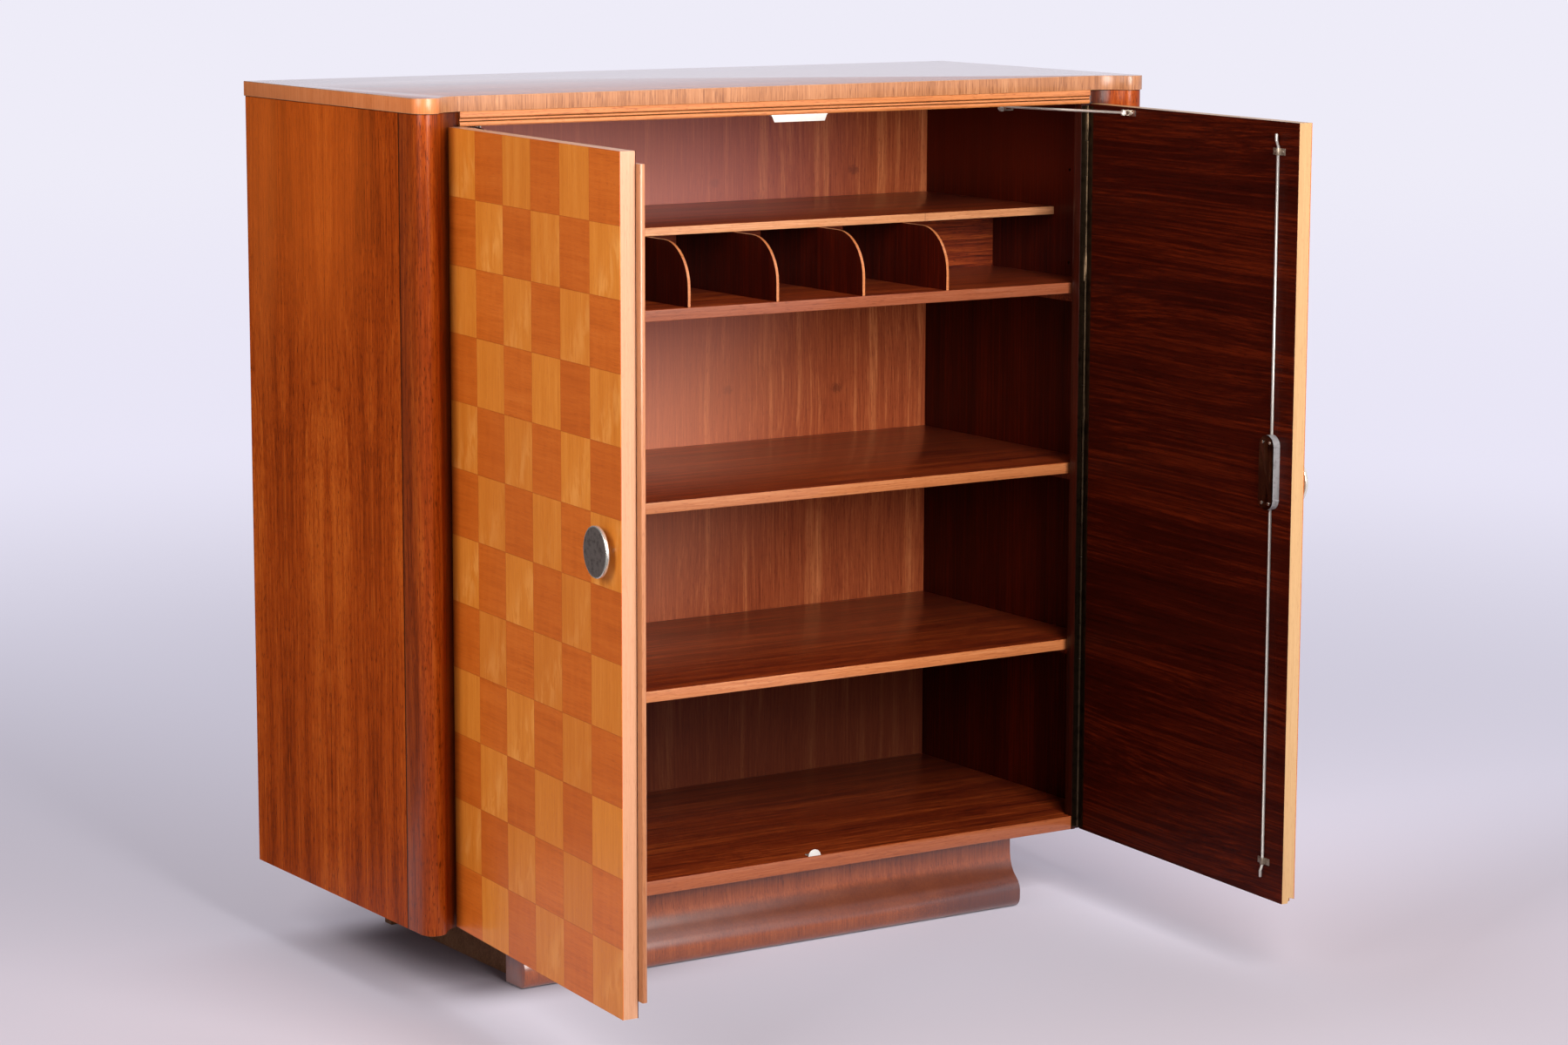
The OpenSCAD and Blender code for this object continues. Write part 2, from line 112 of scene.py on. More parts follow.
class Value:
    """An output socket of a shader graph that takes part in Python arithmetic."""

    def __init__(self, graph: "Graph", socket: bpy.types.NodeSocket) -> None:
        """Wraps an output socket of a graph."""
        self.graph = graph
        self.socket = socket

    def _math(self, operation: str, *operands: Union["Value", Number]) -> "Value":
        """Adds one Math node."""
        return self.graph.node("ShaderNodeMath", {"operation": operation}, dict(enumerate(operands)))

    def __add__(self, other: Union["Value", Number]) -> "Value":
        """self + other."""
        return self._math("ADD", self, other)

    def __radd__(self, other: Number) -> "Value":
        """other + self."""
        return self._math("ADD", other, self)

    def __sub__(self, other: Union["Value", Number]) -> "Value":
        """self - other."""
        return self._math("SUBTRACT", self, other)

    def __rsub__(self, other: Number) -> "Value":
        """other - self."""
        return self._math("SUBTRACT", other, self)

    def __mul__(self, other: Union["Value", Number]) -> "Value":
        """self * other."""
        return self._math("MULTIPLY", self, other)

    def __rmul__(self, other: Number) -> "Value":
        """other * self."""
        return self._math("MULTIPLY", other, self)

    def __truediv__(self, other: Union["Value", Number]) -> "Value":
        """self / other."""
        return self._math("DIVIDE", self, other)

    def __pow__(self, other: Union["Value", Number]) -> "Value":
        """self to the power of other."""
        return self._math("POWER", self, other)

    def floor(self) -> "Value":
        """The whole number below."""
        return self._math("FLOOR", self)

    def absolute(self) -> "Value":
        """The size without its sign."""
        return self._math("ABSOLUTE", self)

    def pingpong(self, span: Number) -> "Value":
        """Runs up to span and back again, over and over."""
        return self._math("PINGPONG", self, span)

    def modulo(self, span: Number) -> "Value":
        """What is left of self after whole spans, never negative."""
        return self._math("FLOORED_MODULO", self, span)

    def least(self, other: Union["Value", Number]) -> "Value":
        """The lesser of self and other."""
        return self._math("MINIMUM", self, other)

    def most(self, other: Union["Value", Number]) -> "Value":
        """The greater of self and other."""
        return self._math("MAXIMUM", self, other)

    def ramp(self, low: Number, high: Number, start: Number = 0.0, end: Number = 1.0) -> "Value":
        """Goes smoothly from start to end as self goes from low to high."""
        return self.graph.node("ShaderNodeMapRange", {"interpolation_type": "SMOOTHSTEP"},
                               {0: self, 1: low, 2: high, 3: start, 4: end})


class Graph:
    """The node tree of one material or world, built by expressions."""

    def __init__(self, name: str, kind: str = "materials") -> None:
        """Starts an empty material or world.

        Args:
            name: Its name.
            kind: "materials" or "worlds".
        """
        self.material = getattr(bpy.data, kind).new(name)
        self.material.use_nodes = True
        self.tree = self.material.node_tree
        self.tree.nodes.clear()

    def node(self, kind: str, settings: Optional[dict] = None, inputs: Optional[dict] = None,
             output: Union[int, str] = 0) -> Value:
        """Adds one node.

        Args:
            kind: The node's type name.
            settings: Properties to set first; "stops" are a colour ramp's stops.
            inputs: Values or links by socket name or number.
            output: The output socket to return.

        Returns:
            The chosen output.
        """
        made = self.tree.nodes.new(kind)
        for key, value in (settings or {}).items():
            if key == "stops":
                self._place_stops(made.color_ramp, value)
            else:
                setattr(made, key, value)
        for key, value in (inputs or {}).items():
            if isinstance(value, Value):
                self.tree.links.new(value.socket, made.inputs[key])
            else:
                made.inputs[key].default_value = value
        return Value(self, made.outputs[output])

    @staticmethod
    def _place_stops(ramp: bpy.types.ColorRamp, stops: Sequence[tuple[float, Colour]]) -> None:
        """Gives a colour ramp its stops.

        Args:
            ramp: The ramp.
            stops: Each stop's place and colour, from low to high.
        """
        while len(ramp.elements) < len(stops):
            ramp.elements.new(1.0)
        for element, (place, colour) in zip(ramp.elements, stops):
            element.position = place
            element.color = colour

    def coordinates(self, turn: Optional["Turn"] = None) -> Value:
        """Object coordinates, turned back to the closed door where a turn is given.

        Args:
            turn: How the drawn door stands open.

        Returns:
            The coordinates.
        """
        place = self.node("ShaderNodeTexCoord", output="Object")
        if turn is None:
            return place
        return self.node("ShaderNodeMapping", {"vector_type": "POINT"},
                         {"Vector": place, "Location": turn.location, "Rotation": (0, 0, turn.angle)})

    def parts(self, vector: Value) -> tuple[Value, Value, Value]:
        """Splits a vector into its three numbers."""
        made = self.node("ShaderNodeSeparateXYZ", None, {0: vector}).socket.node
        return tuple(Value(self, output) for output in made.outputs)

    def joined(self, x: Union[Value, Number], y: Union[Value, Number], z: Union[Value, Number]) -> Value:
        """Makes a vector of three numbers."""
        return self.node("ShaderNodeCombineXYZ", None, {0: x, 1: y, 2: z})

    def scaled(self, vector: Value, factors: Sequence[float]) -> Value:
        """Multiplies a vector by a factor on each axis."""
        return self.node("ShaderNodeVectorMath", {"operation": "MULTIPLY"}, {0: vector, 1: tuple(factors)})

    def shifted(self, vector: Value, by: Union[Value, Sequence[float]]) -> Value:
        """Adds two vectors."""
        return self.node("ShaderNodeVectorMath", {"operation": "ADD"},
                         {0: vector, 1: by if isinstance(by, Value) else tuple(by)})

    def noise(self, vector: Value, detail: float = 2.0, roughness: float = 0.5,
              distortion: float = 0.0) -> Value:
        """Smooth noise from 0 to 1, one feature for each unit of the vector."""
        return self.node("ShaderNodeTexNoise", None,
                         {"Vector": vector, "Scale": 1.0, "Detail": detail,
                          "Roughness": roughness, "Distortion": distortion})

    def mix(self, share: Union[Value, Number], first: Union[Value, Colour],
            second: Union[Value, Colour], blend: str = "MIX") -> Value:
        """Mixes two colours, with share from 0 for the first to 1 for the second."""
        return self.node("ShaderNodeMix", {"data_type": "RGBA", "blend_type": blend, "clamp_factor": True},
                         {0: share, 6: first, 7: second}, output=2)

    def choose(self, share: Union[Value, Number], first: Union[Value, Number],
               second: Union[Value, Number]) -> Value:
        """Mixes two numbers."""
        return self.node("ShaderNodeMix", {"data_type": "FLOAT"}, {0: share, 2: first, 3: second})

    def bump(self, height: Value, distance: float) -> Value:
        """Turns a height from 0 to 1 into a normal, with distance as the full height in metres."""
        return self.node("ShaderNodeBump", None, {"Strength": 1.0, "Distance": distance, "Height": height})

    def ray(self, kind: str) -> Value:
        """1 for the named kind of ray, otherwise 0."""
        return self.node("ShaderNodeLightPath", output=kind)

    def matt(self, colour: Colour) -> Value:
        """A matt shader."""
        return self.node("ShaderNodeBsdfDiffuse", None, {"Color": colour})

    def glow(self, colour: Colour) -> Value:
        """A shader that glows at a strength of 1."""
        return self.node("ShaderNodeEmission", None, {"Color": colour})

    def sky(self, colour: Colour, strength: float = 1.0) -> Value:
        """A world's background shader."""
        return self.node("ShaderNodeBackground", None, {"Color": colour, "Strength": strength})

    def blend(self, share: Union[Value, Number], first: Value, second: Value) -> Value:
        """Mixes two shaders, with share from 0 for the first to 1 for the second."""
        return self.node("ShaderNodeMixShader", None, {0: share, 1: first, 2: second})

    def finish(self, **sockets: Union[Value, Number, Colour]) -> bpy.types.Material:
        """Ends the graph in a Principled shader, whose sockets are named with _ for a space."""
        inputs = {name.replace("_", " "): value for name, value in sockets.items()}
        return self.surface(self.node("ShaderNodeBsdfPrincipled", None, inputs))

    def surface(self, shader: Value, end: str = "ShaderNodeOutputMaterial") -> bpy.types.ID:
        """Links a shader to the output.

        Args:
            shader: The shader.
            end: The output node's type.

        Returns:
            The material or world.
        """
        last = self.tree.nodes.new(end)
        self.tree.links.new(shader.socket, last.inputs["Surface"])
        return self.material


@dataclass(frozen=True)
class Turn:
    """The turn that takes a door from how it is drawn back to closed."""

    angle: float = 0.0
    pivot: tuple[float, float] = (0.0, 0.0)

    @property
    def location(self) -> Triple:
        """The shift that follows the turn, so that the pivot stays in place.

        Returns:
            The shift.
        """
        cos, sin = math.cos(self.angle), math.sin(self.angle)
        x, y = self.pivot
        return (x - cos * x + sin * y, y - sin * x - cos * y, 0.0)

    def closed(self, point: Vector) -> Vector:
        """Where a point of the drawn door lies once the door is closed."""
        return Matrix.Rotation(self.angle, 4, "Z") @ point + Vector(self.location)

    def drawn(self, point: Vector) -> Vector:
        """Where a point of the closed door lies as the door is drawn."""
        return Matrix.Rotation(-self.angle, 4, "Z") @ (point - Vector(self.location))


@dataclass(frozen=True)
class Seam:
    """A fine dark line over a surface, such as a veneer joint or painted shade at the bottom of a groove."""

    axis: Axis
    place: float
    width: float = 0.0006
    share: float = 0.6
    colour: Colour = (0.01, 0.003, 0.001, 1.0)
    depth: float = 0.6
    core: float = 0.35


@dataclass(frozen=True)
class Spot:
    """A knot, a stain, a worn place, or a patch of painted light or shade. The reach is its half size on
    each axis, in metres.
    """

    centre: Triple
    reach: Triple
    colour: Colour
    share: float = 0.8
    ragged: float = 1.4
    core: float = 0.35


@dataclass(frozen=True)
class Timber:
    """A timber or veneer, figured by noise that is stretched along its grain.

    Widths and lengths are metres, and broad, fine, fibres, ribbon, curl and pores are strengths.
    """

    name: str
    dark: Colour
    middle: Colour
    light: Colour
    axis: Axis = Axis.Z
    stripe: float = 0.022
    streak: float = 0.0045
    fibre: float = 0.0011
    pore: float = 0.0011
    length: float = 0.55
    stripe_stretch: float = 1.6
    streak_stretch: float = 0.5
    fibre_length: float = 0.05
    pore_length: float = 0.010
    broad: float = 0.9
    fine: float = 0.8
    fibres: float = 0.9
    ribbon: float = 0.0
    ribbon_edge: Span = (0.50, 0.66)
    ribbon_balance: float = 0.35
    pores: float = 0.35
    pore_edge: Span = (0.58, 0.72)
    wander: float = 0.004
    wander_width: float = 0.16
    curl: float = 0.0
    curl_size: tuple[float, float] = (0.07, 0.018)
    leaf: float = 0.0
    leaf_axis: Axis = Axis.X
    leaf_start: float = 0.0
    roughness: float = 0.36
    roughness_range: float = 0.12
    specular: float = 0.4
    coat: float = 0.45
    coat_roughness: float = 0.12
    relief: float = 0.00010
    crumbs: float = 380.0
    seams: tuple[Seam, ...] = ()
    spots: tuple[Spot, ...] = ()

    def stretch(self, across: float, along: float) -> list[float]:
        """Works out the scale of features that lie along the grain.

        Args:
            across: Their width.
            along: Their length.

        Returns:
            The factor for each axis.
        """
        factors = [1 / across] * 3
        factors[self.axis.value] = 1 / along
        return factors

    def place(self, graph: Graph, point: Value) -> Value:
        """Book-matches the leaves and lets the grain wander.

        Args:
            graph: The material's graph.
            point: Where the surface is.

        Returns:
            Where the figure is read.
        """
        if self.leaf:
            numbers = list(graph.parts(point))
            chosen = numbers[self.leaf_axis.value]
            numbers[self.leaf_axis.value] = (chosen - self.leaf_start).pingpong(self.leaf)
            point = graph.joined(*numbers)
        drift = graph.noise(graph.scaled(point, self.stretch(self.wander_width, self.length)), detail=1.0)
        push = [(drift - 0.5) * (2 * self.wander)] * 3
        push[self.axis.value] = 0.0
        return graph.shifted(point, graph.joined(*push))

    def layer(self, graph: Graph, place: Value, across: float, along: float, roughness: float = 0.5,
              detail: float = 2.0) -> Value:
        """Noise with features of a width across the grain and a length along it."""
        return graph.noise(graph.scaled(place, self.stretch(across, along)), detail, roughness)

    def figure(self, graph: Graph, point: Value) -> tuple[Value, Value]:
        """The colour and the height of the bare timber.

        Args:
            graph: The material's graph.
            point: Where the surface is.

        Returns:
            The colour, and a height from 0 to 1.
        """
        place = self.place(graph, point)
        broad = self.layer(graph, place, self.stripe, self.length * self.stripe_stretch)
        streak = self.layer(graph, place, self.streak, self.length * self.streak_stretch, roughness=0.55)
        fibre = self.layer(graph, place, self.fibre, self.fibre_length, roughness=0.6)
        tone = (broad - 0.5) * self.broad + (streak - 0.5) * self.fine + (fibre - 0.5) * self.fibres + 0.5
        if self.ribbon:
            tone = tone + broad.ramp(*self.ribbon_edge) * self.ribbon - self.ribbon * self.ribbon_balance
        if self.curl:
            tone = tone + (self.layer(graph, place, *self.curl_size) - 0.5) * self.curl
        colour = graph.node("ShaderNodeValToRGB",
                            {"stops": [(0.0, self.dark), (0.5, self.middle), (1.0, self.light)]}, {0: tone})
        dashes = self.layer(graph, place, self.pore, self.pore_length, roughness=0.4, detail=1.0)
        pore = dashes.ramp(*self.pore_edge)
        return graph.mix(pore * self.pores, colour, self.dark, "MULTIPLY"), fibre * 0.5 - pore * 0.5 + 0.5

    def marked(self, graph: Graph, point: Value, colour: Value, height: Value) -> tuple[Value, Value]:
        """Adds the spots and the seams.

        Args:
            graph: The material's graph.
            point: Where the surface is.
            colour: The bare timber's colour.
            height: The bare timber's height.

        Returns:
            The colour and the height.
        """
        if self.spots:
            crumbs = graph.noise(graph.scaled(point, [self.crumbs] * 3), detail=3.0, roughness=0.6)
        for spot in self.spots:
            offset = graph.shifted(point, [-value for value in spot.centre])
            near = graph.scaled(offset, [1 / value for value in spot.reach])
            away = graph.node("ShaderNodeVectorMath", {"operation": "LENGTH"}, {0: near}, output="Value")
            mask = (away + (crumbs - 0.5) * spot.ragged).ramp(spot.core, 1.0, 1.0, 0.0)
            colour = graph.mix(mask * spot.share, colour, spot.colour)
        if self.seams:
            numbers = graph.parts(point)
        for seam in self.seams:
            gap = (numbers[seam.axis.value] - seam.place).absolute()
            line = gap.ramp(seam.width * seam.core, seam.width, 1.0, 0.0) * seam.share
            colour = graph.mix(line, colour, seam.colour)
            height = height - line * seam.depth
        return colour, height

    def material(self, turn: Optional[Turn] = None) -> bpy.types.Material:
        """Builds the finish.

        Args:
            turn: The door's turn, for a piece that rides on an open door.

        Returns:
            The material.
        """
        graph = Graph(self.name)
        point = graph.coordinates(turn)
        colour, height = self.marked(graph, point, *self.figure(graph, point))
        return self.varnished(graph, colour, height, height, self.roughness_range)

    def varnished(self, graph: Graph, colour: Value, grain: Value, height: Value,
                  variation: float) -> bpy.types.Material:
        """Ends a graph in this timber's varnish.

        Args:
            graph: The material's graph.
            colour: The timber's colour.
            grain: The height that the roughness follows, from 0 to 1.
            height: The height of the surface, from 0 to 1.
            variation: How far the roughness goes from the deepest to the highest grain.

        Returns:
            The material.
        """
        rough = grain * variation + (self.roughness - variation / 2)
        return graph.finish(Base_Color=colour, Roughness=rough, Specular_IOR_Level=self.specular,
                            Coat_Weight=self.coat, Coat_Roughness=self.coat_roughness,
                            Normal=graph.bump(height, self.relief))

    def tinted(self, name: str, red: float, green: float, blue: float, **changes: object) -> "Timber":
        """The same timber with its colours multiplied.

        Args:
            name: The new name.
            red: The factor for red.
            green: The factor for green.
            blue: The factor for blue.
            **changes: Other fields to change.

        Returns:
            The other timber.
        """
        tones = {key: tuple(a * b for a, b in zip(getattr(self, key), (red, green, blue, 1.0)))
                 for key in ("dark", "middle", "light")}
        return replace(self, name=name, **{**tones, **changes})

    def worn(self, share: float, tint: Colour = srgb(222, 178, 134), rougher: float = 0.1,
             coat_left: float = 0.5) -> "Timber":
        """The same timber where hands and feet have rubbed its edges pale.

        Args:
            share: How far its colours have gone towards the tint.
            tint: The colour of rubbed wood.
            rougher: What is added to its roughness.
            coat_left: The share of its varnish that is left.

        Returns:
            The worn timber.
        """
        paler = [tuple(a + (b - a) * share for a, b in zip(colour, tint))
                 for colour in (self.dark, self.middle, self.light)]
        return replace(self, name=self.name + "_worn", dark=paler[0], middle=paler[1], light=paler[2],
                       roughness=self.roughness + rougher, coat=self.coat * coat_left, seams=(), spots=())


@dataclass(frozen=True)
class Chequer:
    """Square-cut veneer leaves laid in a chequer, the grain turning from cell to cell, with a painted glint
    in some upright cells.
    """

    name: str
    upright: Timber
    lying: Timber
    start: tuple[float, float]
    cell: tuple[float, float]
    outward: int
    joint: float = 0.0006
    joint_core: float = 0.4
    joint_tone: float = 0.4
    joint_depth: float = 0.5
    leaf_distance: float = 3.0
    # glint, glint_middle, glint_width, glint_chance, wisp, wisp_edge and gold make a painted glint: a golden
    # diagonal sheen painted into some upright cells.
    glint: float = 0.42
    glint_middle: float = 1.3
    glint_width: float = 0.55
    glint_chance: Span = (0.2, 0.7)
    wisp: Triple = (70.0, 70.0, 22.0)
    wisp_edge: Span = (0.42, 0.62)
    spread: float = 0.25
    roughness_range: float = 0.10
    gold: Colour = srgb(244, 172, 88)
    deep: Colour = srgb(168, 70, 18)

    def material(self, turn: Turn) -> bpy.types.Material:
        """Builds the finish in the closed door's own directions.

        Args:
            turn: The door's turn.

        Returns:
            The material.
        """
        graph = Graph(self.name)
        point = graph.coordinates(turn)
        x, y, z = graph.parts(point)
        across = (x - self.start[0]) * self.outward / self.cell[0]
        down = (self.start[1] - z) / self.cell[1]
        column, row = across.floor(), down.floor()
        odd = (column + row).modulo(2.0)
        chance = graph.node("ShaderNodeTexWhiteNoise", {"noise_dimensions": "3D"},
                            {"Vector": graph.joined(column, row, 0.0)}, output="Color")
        apart = graph.shifted(point, graph.scaled(chance, [self.leaf_distance] * 3))
        light, light_height = self.upright.figure(graph, apart)
        dark, dark_height = self.lying.figure(graph, apart)
        colour = graph.mix(odd, light, dark)
        height = graph.choose(odd, light_height, dark_height)
        red, green, _ = graph.parts(chance)
        within_x, within_z = across - column, down - row
        # Painted glint: golden wisps painted along a diagonal of some upright cells.
        wisps = graph.noise(graph.scaled(apart, self.wisp), detail=3.0, roughness=0.6, distortion=0.6)
        diagonal = (within_x + within_z - self.glint_middle).absolute().ramp(0.0, self.glint_width, 1.0, 0.0)
        streaked = diagonal * wisps.ramp(*self.wisp_edge)
        glint = (1 - odd) * streaked * red.ramp(*self.glint_chance) * self.glint
        colour = graph.mix(glint, colour, self.gold)
        colour = graph.mix(green * self.spread, colour, self.deep)
        edge_x, edge_z = (((within - 0.5).absolute() * -1 + 0.5) * size
                          for within, size in zip((within_x, within_z), self.cell))
        seam = edge_x.least(edge_z).ramp(self.joint * self.joint_core, self.joint, 1.0, 0.0)
        colour = graph.mix(seam * self.joint_tone, colour, self.deep, "MULTIPLY")
        return self.upright.varnished(graph, colour, height, height - seam * self.joint_depth,
                                      self.roughness_range)


@dataclass(frozen=True)
class Metal:
    """A metal with fine scratches and darker patches."""

    name: str
    colour: Colour
    patch: Colour
    roughness: float = 0.3
    roughness_range: float = 0.25
    scratches: float = 0.12
    scratch: Triple = (1500.0, 1500.0, 90.0)
    relief: float = 0.00003
    patch_size: float = 0.02
    patch_edge: Span = (0.45, 0.72)
    patch_share: float = 0.5
    metallic: float = 1.0

    def material(self) -> bpy.types.Material:
        """Builds the finish.

        Returns:
            The material.
        """
        graph = Graph(self.name)
        point = graph.coordinates()
        cloud = graph.noise(graph.scaled(point, [1 / self.patch_size] * 3), detail=4.0, roughness=0.6)
        fine = graph.noise(graph.scaled(point, self.scratch), roughness=0.6)
        colour = graph.mix(cloud.ramp(*self.patch_edge) * self.patch_share, self.colour, self.patch)
        rough = (cloud - 0.5) * self.roughness_range + (fine - 0.5) * self.scratches + self.roughness
        return graph.finish(Base_Color=colour, Metallic=self.metallic, Roughness=rough,
                            Normal=graph.bump(fine, self.relief))


# Finishes of this cabinet

UNDER_TOP = Seam(Axis.Z, 1.180, 0.0014, 0.8)
POST_JOINT = Seam(Axis.Y, -0.194, 0.0014, 0.9)
# Dark lines on the outer side: the post's joint, the leaf joints at -0.105, 0.021 and 0.153, a lone dark
# line at -0.159, and the line under the top.
SIDE_LINES = (POST_JOINT, *(Seam(Axis.Y, y) for y in (-0.159, -0.105, 0.021, 0.153)), UNDER_TOP)
WALNUT = Timber("walnut_veneer", srgb(100, 34, 3), srgb(154, 60, 7), srgb(188, 90, 24), stripe=0.045,
                streak=0.006, broad=1.3, fine=0.9, fibres=1.3, leaf=0.129, leaf_axis=Axis.Y,
                leaf_start=-0.107, wander=0.022, pores=0.7, curl=0.3, curl_size=(0.05, 0.05),
                specular=0.05, coat=0.03, seams=SIDE_LINES,
                # The two spots paint the upper part of the outer side lighter, most at its back, a painted
                # pool of light from above.
                spots=(Spot((-0.58, 0.21, 1.15), (0.3, 0.07, 0.5), srgb(206, 106, 38), 0.30, 0.0),
                       Spot((-0.58, 0.05, 1.15), (0.3, 0.24, 0.38), srgb(206, 98, 26), 0.36, 0.0)))
# Two dark spots paint shade into the coves between the posts and the doors.
COVE_PAINTED_SHADE = tuple(Spot((x, -0.218, 0.6), (0.030, 0.030, 9.0), srgb(30, 8, 4), 0.75, 0.0)
                   for x in (-0.515, 0.515))
POST = WALNUT.tinted("post_walnut", 0.86, 0.88, 0.9, stripe=0.02, leaf=0.0, curl=0.0, coat=0.14,
                     specular=0.12, coat_roughness=0.16, spots=COVE_PAINTED_SHADE,
                     seams=(Seam(Axis.Y, -0.195, 0.0018, 0.9), UNDER_TOP))
JAMB = Timber("jamb_mahogany", srgb(20, 3, 1), srgb(44, 8, 2), srgb(66, 16, 4), coat=0.1, specular=0.2)
FIGURED_TOP = Timber("figured_top", srgb(84, 40, 18), srgb(150, 84, 44), srgb(190, 120, 70), axis=Axis.X,
                     stripe=0.05, streak=0.008, length=0.7, curl=0.5, roughness=0.24, coat=0.85,
                     coat_roughness=0.07)
TOP_EDGE = Timber("top_edge_banding", srgb(124, 74, 42), srgb(170, 112, 72), srgb(196, 140, 98),
                  stripe=0.03, streak=0.003, length=0.3, broad=0.7, fine=1.1, pores=0.5, pore_length=0.02,
                  coat=0.6, coat_roughness=0.3,
                  # The spot paints the left end of the edge band brighter and more orange than its front, as
                  # painted light on that end.
                  spots=(Spot((-0.584, 0.0, 1.19), (0.05, 9.0, 9.0), srgb(255, 138, 60), 0.42, 0.0),))
REEDED = Timber("reeded_frieze", srgb(140, 72, 30), srgb(192, 116, 62), srgb(214, 142, 90), axis=Axis.X,
                stripe=0.006, streak=0.002, broad=0.5, pores=0.4, coat=0.6,
                # The two seams paint shade into the hollows between the reeds.
                seams=(Seam(Axis.Z, 1.1712, 0.0009, 0.8), Seam(Axis.Z, 1.1670, 0.0009, 0.8)))
MAHOGANY = Timber("mahogany_inside", srgb(66, 12, 3), srgb(118, 38, 8), srgb(168, 74, 26), axis=Axis.X,
                  stripe=0.03, streak=0.004, broad=0.9, fine=1.6, fibres=1.8, pores=0.6, wander=0.012,
                  roughness=0.4, specular=0.35, coat=0.7, coat_roughness=0.24)
DARK_WALL = Timber("mahogany_wall", srgb(34, 2, 0), srgb(60, 8, 0), srgb(92, 22, 3), stripe=0.03,
                   streak=0.004, broad=0.7, fine=1.1, fibres=1.2, roughness=0.45, specular=0.1, coat=0.03,
                   # The spot paints a lighter band high on the right inside wall, a painted pool of light in
                   # the top compartment.
                   spots=(Spot((0.5515, 0.1, 1.12), (0.05, 9.0, 0.14), srgb(98, 26, 6), 0.6, 0.0),))
KNOTS = tuple(Spot((x, 0.244, z), (0.012, 0.03, 0.009), srgb(96, 38, 20), 0.55) for x, z in
              ((0.193, 0.7225), (0.388, 0.713), (0.170, 1.031), (0.417, 1.041)))
# Painted light and shade on the back: a pale pool and a pinkish painted sheen on its upper left, and painted
# shade over the lowest compartment.
BACK_PAINTED_LIGHT_AND_SHADE = (Spot((-0.15, 0.24, 0.80), (0.55, 9.0, 0.62), srgb(236, 154, 124), 0.6, 0.0),
              Spot((-0.10, 0.24, 1.08), (0.60, 9.0, 0.45), srgb(196, 130, 136), 0.4, 0.0),
              Spot((0.0, 0.24, 0.10), (9.0, 9.0, 0.32), srgb(66, 18, 4), 0.8, 0.0))
STRIPED_BACK = Timber("striped_back", srgb(126, 46, 20), srgb(172, 82, 42), srgb(214, 128, 76),
                      stripe=0.017, streak=0.0035, length=0.4, broad=0.25, fine=0.8, fibres=1.1,
                      ribbon=0.25, wander=0.012, roughness=0.5, specular=0.25, coat=0.08,
                      coat_roughness=0.45, spots=KNOTS + BACK_PAINTED_LIGHT_AND_SHADE)
RAW = Timber("raw_back", srgb(120, 84, 56), srgb(158, 118, 82), srgb(184, 146, 108), stripe=0.04, pores=0.5,
             roughness=0.75, specular=0.2, coat=0.0)
PALE_EDGE = Timber("pale_edge", srgb(150, 82, 42), srgb(190, 114, 66), srgb(214, 146, 98), axis=Axis.X,
                   stripe=0.02, streak=0.002, broad=0.5, fine=0.5, pores=0.3)
# Tinted copies of the pale edge paint each front's light: the top shelf's edge paler and pinker as a painted
# sheen, the upper shelf's darker and more purple, and the middle and bottom fronts darker, as painted shade.
FRONTS_WITH_PAINTED_LIGHT = {"pigeonhole_shelf": PALE_EDGE.tinted("top_shelf_edge", 1.2, 1.6, 2.2,
                                               seams=(Seam(Axis.X, 0.322),)),
          "upper_shelf": PALE_EDGE.tinted("upper_shelf_edge", 0.55, 0.45, 0.55),
          "middle_shelf": PALE_EDGE.tinted("middle_shelf_edge", 0.85, 0.85, 0.85),
          "lower_shelf": PALE_EDGE,
          "bottom_board": PALE_EDGE.tinted("bottom_edge", 0.65, 0.5, 0.45)}
LINING = Timber("door_lining", srgb(28, 2, 0), srgb(50, 7, 1), srgb(92, 26, 5), axis=Axis.X, stripe=0.04,
                streak=0.004, length=0.9, broad=0.8, fine=1.2, fibres=0.8, wander=0.03, pores=0.4,
                roughness=0.45, specular=0.05, coat=0.01, coat_roughness=0.2)
LIPPING = Timber("light_lipping", srgb(160, 108, 76), srgb(184, 132, 98), srgb(200, 150, 118), stripe=0.012,
                 streak=0.002, broad=0.4, fine=0.4, fibres=0.5, pores=0.15, roughness=0.45, coat=0.2)
YELLOW_LIPPING = LIPPING.tinted("yellow_lipping", 1.0, 1.22, 1.0)
CLOSING_STRIP = PALE_EDGE.tinted("closing_strip", 0.75, 0.85, 1.0, axis=Axis.Z)
CORE = replace(LIPPING, name="core_board")
# Marks on the plinth front, in order: a painted dark band of shade in the cove's crease, a painted lilac
# highlight below it, dark speckled wear on the toe, a darker right end of the toe, a painted shadow line
# along the floor, and a painted shadow line under the bottom board.
TOE_WEAR_AND_PAINTED_SHADE = (Spot((0.0, -0.19, 0.053), (9.0, 9.0, 0.018), srgb(76, 44, 38), 0.6, 0.3),
       Spot((0.0, -0.19, 0.035), (9.0, 9.0, 0.012), srgb(104, 78, 78), 0.45, 0.3),
       Spot((0.0, -0.19, 0.010), (9.0, 9.0, 0.018), srgb(82, 44, 30), 0.3, 2.0),
       Spot((0.4, -0.19, 0.020), (0.25, 9.0, 0.026), srgb(66, 34, 34), 0.7, 0.8),
       Spot((0.0, -0.19, 0.0), (9.0, 9.0, 0.003), srgb(20, 10, 8), 0.9, 0.2),
       Spot((0.0, -0.19, 0.1085), (9.0, 9.0, 0.006), srgb(40, 12, 6), 0.7, 0.1))
